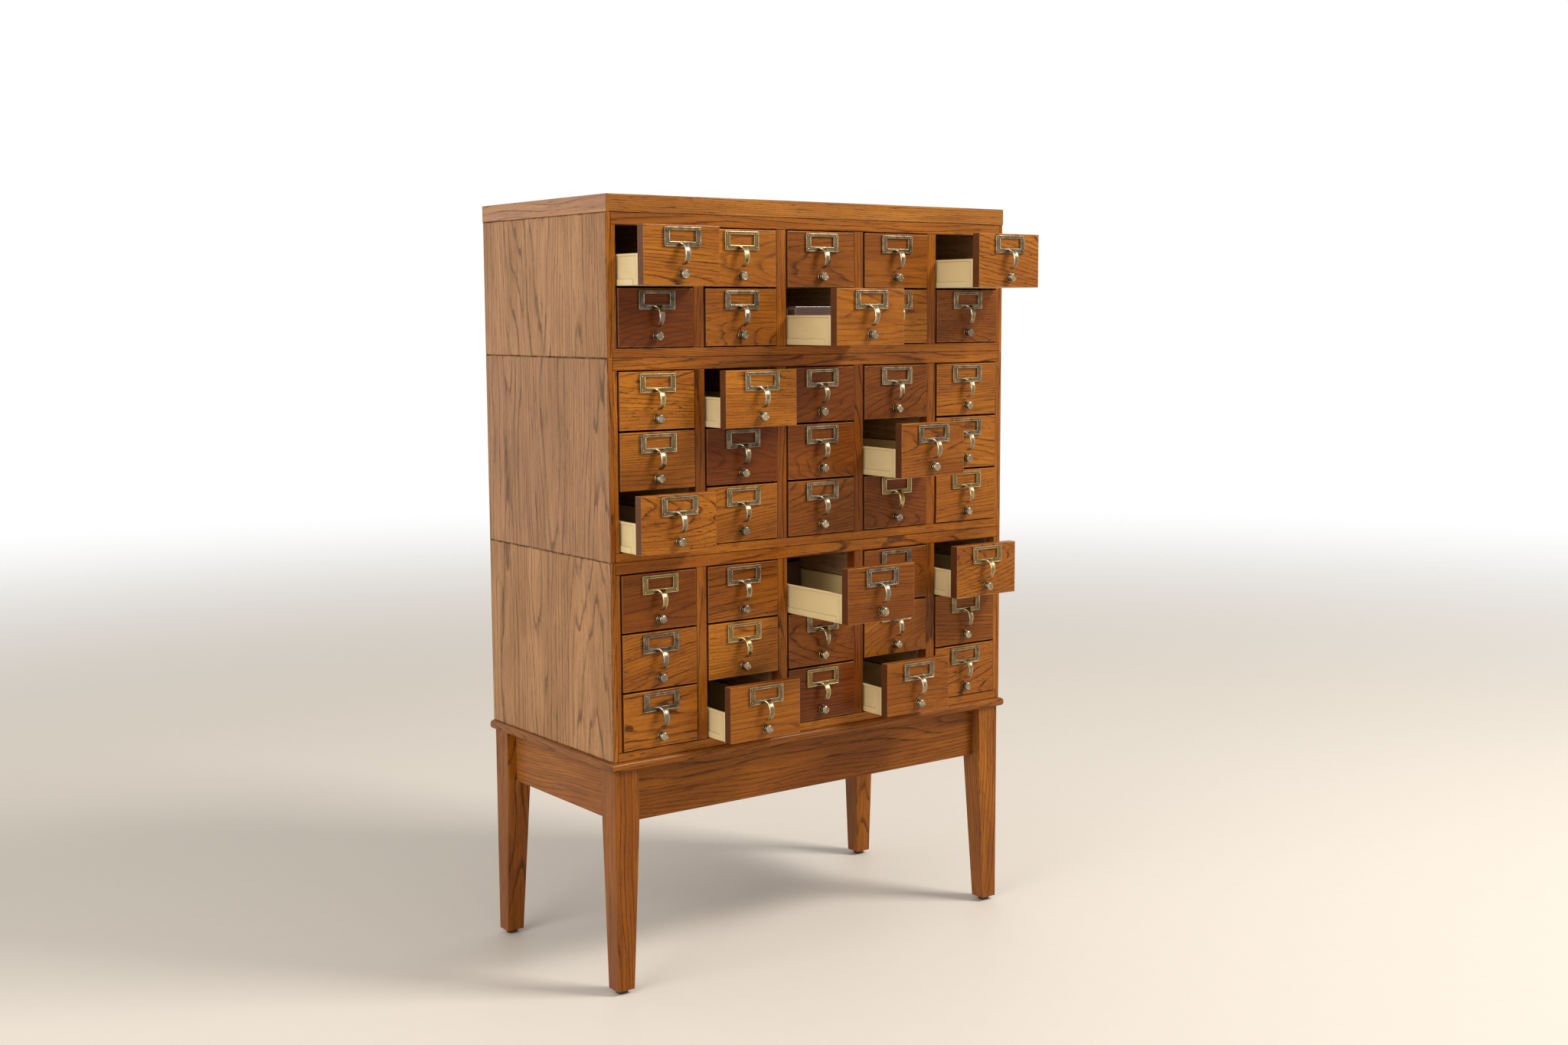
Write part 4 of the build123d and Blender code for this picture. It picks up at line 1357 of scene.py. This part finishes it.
def merged(meshes, name):
    """Several meshes in one."""
    bm = bmesh.new()
    for mesh in meshes:
        bm.from_mesh(mesh)
    joined = bpy.data.meshes.new(name)
    bm.to_mesh(joined)
    bm.free()
    return joined


def write_ridges(mesh, ridge_at):
    """Store how raised and rubbed a mesh is at each corner of its faces."""
    values = [float(ridge_at(polygon, mesh.vertices[vertex].co))
              for polygon in mesh.polygons for vertex in polygon.vertices]
    write_attribute(mesh, "ridge", "FLOAT", values)


def holder_ridge(polygon, point):
    """How rubbed the frame and the pull are, with a painted highlight and dark reflection on the
    pull.
    """
    if polygon.index < frame_faces:
        in_field = FIELD_REACH[0] < polygon.center.y - FIELD_Y < FIELD_REACH[1]
        return not (in_field and abs(polygon.normal.y) > FIELD_FACING)
    if abs(point.x) > BRIGHT_SIDE_SHARE * pull_half_width(point):
        return PULL_SIDE_WEAR_AND_HIGHLIGHT
    bent = math.atan2(arch_centre.y - point.y, point.z - arch_centre.z) / BEND_TURN
    return PULL_ROOT_DARK_REFLECTION + (PULL_BEND_RIDGE - PULL_ROOT_DARK_REFLECTION) * max(0.0, min(bent, 1.0))


def gilded(mesh, gilt):
    """Store how golden a fitting has stayed."""
    write_attribute(mesh, "gilt", "FLOAT", [gilt] * len(mesh.loops))
    return mesh


frame_mesh = close_bmesh(holder_bmesh(), "holder", TURNED_SMOOTH)
frame_faces = len(frame_mesh.polygons)
holder_blank = merged([frame_mesh, pull_blank], "holder_with_pull")
write_ridges(holder_blank, holder_ridge)
pin_heads = []
for x in (-PIN_X, PIN_X):
    for z in (holder_top - PIN_INSET, holder_foot + PIN_INSET):
        bm = turned(PIN_OUTLINE, (x, FIELD_Y, z), (0, -1, 0), (1, 0, 0), PIN_STEPS)
        pin_heads.append(close_bmesh(bm, "pin", PIN_SMOOTH))
pins_blank = merged(pin_heads, "pins")
# The front-facing crown of each pin is painted bright as a highlight.
write_ridges(pins_blank, lambda polygon, point: polygon.normal.y < PIN_HIGHLIGHT_FACING)
gilts = by_drawer(GILT_NOTES)
for tag, spot in places.items():
    gilt = gilts.get(tag, chance.uniform(*GILT_RANGE))
    for kind, blank in (("label_holder", holder_blank), ("label_pins", pins_blank)):
        on_drawer(kind, tag, gilded(moved(blank, spot), gilt), plated_brass)
print("holder faces", len(holder_blank.polygons), "pin faces", len(pins_blank.polygons))

# %% [markdown]
# ## Card rods and knobs
# The knob is turned: a collar against the front, a deep groove, then a head of two rings with a
# dished face. In the open drawers the rod is a body of its own and can be drawn out, so there the
# same shape stands for the measured rod.

# %% Card rods
ROD_RADIUS = 2.4 * MM
ROD_TAIL = FRONT.y + TRAY.y + 3.0 * MM
ROD_END = [(-ROD_TAIL, 0), (-ROD_TAIL + 0.3 * MM, 1.9 * MM), (-ROD_TAIL + 0.8 * MM, ROD_RADIUS)]
KNOB = [(0.1, 2.4), (0.1, 7.3), (0.45, 7.7), (1.7, 7.7), (2.15, 7.3), (2.3, 5.0), (4.6, 4.7),
        (4.8, 6.8), (5.2, 7.4), (5.8, 7.6), (6.9, 7.6), (7.4, 7.3), (7.6, 6.6), (8.0, 6.5),
        (8.2, 7.0), (8.7, 7.3), (10.4, 7.3), (11.3, 7.0), (12.0, 6.4), (12.3, 5.8), (12.2, 5.4),
        (11.7, 5.1), (11.6, 4.7), (11.9, 3.2), (12.0, 0.0)]
GROOVE_NEAR, GROOVE_FAR = -2 * MM, -5 * MM
GROOVE_RIDGE, KNOB_RIDGE = 0.2, 0.92


def knob_ridge(polygon, point):
    """The groove of the knob is dark and the rest of knob and rod is rubbed."""
    return GROOVE_RIDGE if GROOVE_FAR < polygon.center.y < GROOVE_NEAR else KNOB_RIDGE


rod_outline = ROD_END + [(reach * MM, radius * MM) for reach, radius in KNOB]
rod_bm = turned(rod_outline, (0, 0, ROD_HEIGHT), (0, -1, 0), (1, 0, 0))
rod_blank = close_bmesh(rod_bm, "card_rod", 32)
write_ridges(rod_blank, knob_ridge)
for tag, spot in places.items():
    body = f"card_rod_{tag}" if tag in drawn else None
    rod = gilded(moved(rod_blank, spot), chance.uniform(*ROD_GILT_RANGE))
    piece = on_drawer("rod_and_knob", tag, rod, plated_brass, body)
    if body:
        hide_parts(body)
print("rod faces", len(rod_blank.polygons))

# %% [markdown]
# ## Followers
# The follower is a plate that stands the cards up, with a flange along each side of the tray. A
# block is hollowed to an open U and rounded at its far top corners. A shallow panel is pressed into
# each flange, with a small screw that locks it.

# %% Followers
FOLLOWER = Vector((122.0, 27.0, 60.5)) * MM
FOLLOWER_WALL = 3.0 * MM
FOLLOWER_FLOOR = TRAY_FLOOR + 0.4 * MM
FOLLOWER_CORNER, FOLLOWER_STEPS = 5.0 * MM, 5
FOLLOWER_EASE = 0.5 * MM
FLAT_FACING = 0.99
FOLLOWER_FAR = 300.0 * MM
FOLLOWER_NEAR = {"r2c3": 124.0 * MM}
PRESS_BORDER, PRESS_SLOPE, PRESS_DEPTH = 3.2 * MM, 0.6 * MM, 0.9 * MM
SCREW_OUTLINE = [(0, 0), (0, 2.4 * MM), (0.8 * MM, 2.2 * MM), (1.2 * MM, 1.2 * MM),
                 (1.2 * MM, 0)]
SCREW_INSET, SCREW_HEIGHT, SCREW_STEPS = 1.2 * MM, 0.72 * FOLLOWER.z, 14


def follower_mesh():
    """A follower whose plate stands at y = 0."""
    half = FOLLOWER.x / 2
    top = FOLLOWER_FLOOR + FOLLOWER.z
    bm = box_bmesh((-half, 0, FOLLOWER_FLOOR), (half, FOLLOWER.y, top))
    hollow = box_bmesh((-half + FOLLOWER_WALL, FOLLOWER_WALL, 0),
                       (half - FOLLOWER_WALL, FOLLOWER.y + MM, top + MM))
    shell = with_hole(close_bmesh(bm, "block"), close_bmesh(hollow, "hollow"))
    bm = bmesh.new()
    bm.from_mesh(shell)
    far_tops = [edge for edge in bm.edges if abs(edge.verts[0].co.x - edge.verts[1].co.x) > MM
                and all(v.co.y > FOLLOWER.y - NEARBY and v.co.z > FOLLOWER.z
                        for v in edge.verts)]
    round_edges(bm, far_tops, FOLLOWER_CORNER, FOLLOWER_STEPS)
    flanges = side_faces(bm, half)
    for thickness, depth in ((PRESS_BORDER, 0), (PRESS_SLOPE, -PRESS_DEPTH)):
        ops.inset_individual(bm, faces=flanges, thickness=thickness, depth=depth,
                             use_even_offset=True)
    round_sharp(bm, SHARP_METAL, FOLLOWER_EASE)
    parts = [close_bmesh(bm, "follower")]
    for side in (-1, 1):
        spot = (side * (half - SCREW_INSET), FOLLOWER.y / 2, SCREW_HEIGHT)
        screw = turned(SCREW_OUTLINE, spot, (side, 0, 0), (0, 1, 0), SCREW_STEPS)
        parts.append(close_bmesh(screw, "screw"))
    return merged(parts, "follower")


def is_chip_edge(polygon, point):
    """Whether a face of the follower is one of its eased edges."""
    return max(abs(part) for part in polygon.normal) < FLAT_FACING


follower_blank = follower_mesh()
write_ridges(follower_blank, is_chip_edge)
for tag, spot in places.items():
    shift = spot + Vector((0, FOLLOWER_NEAR.get(tag, FOLLOWER_FAR), 0))
    on_drawer("follower", tag, moved(follower_blank, shift), follower_paint)
print("follower faces", len(follower_blank.polygons))

# %% [markdown]
# ## Front strips of the sides
# A strip of solid oak covers the front edge of each side panel. It took the stain as the face frame
# did, so from the front it reads as one more stile, with the grain upright.

# %% Front strips
STRIP_EASE = 0.8 * MM
STRIP_TONE = 0.12
for case in CASES:
    low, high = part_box(case)
    for name, near, far in at_both_ends(CASE_HALF, SIDE_BOARD):
        board(f"{case}_strip_{name}", (near, CASE_FRONT, low.z),
              (far, CASE_FRONT + SIDE_STRIP, high.z), ALONG_Z, ease=STRIP_EASE, tone=STRIP_TONE,
              edges_show=False)
print("front strips", 2 * len(CASES), "wide", SIDE_STRIP)
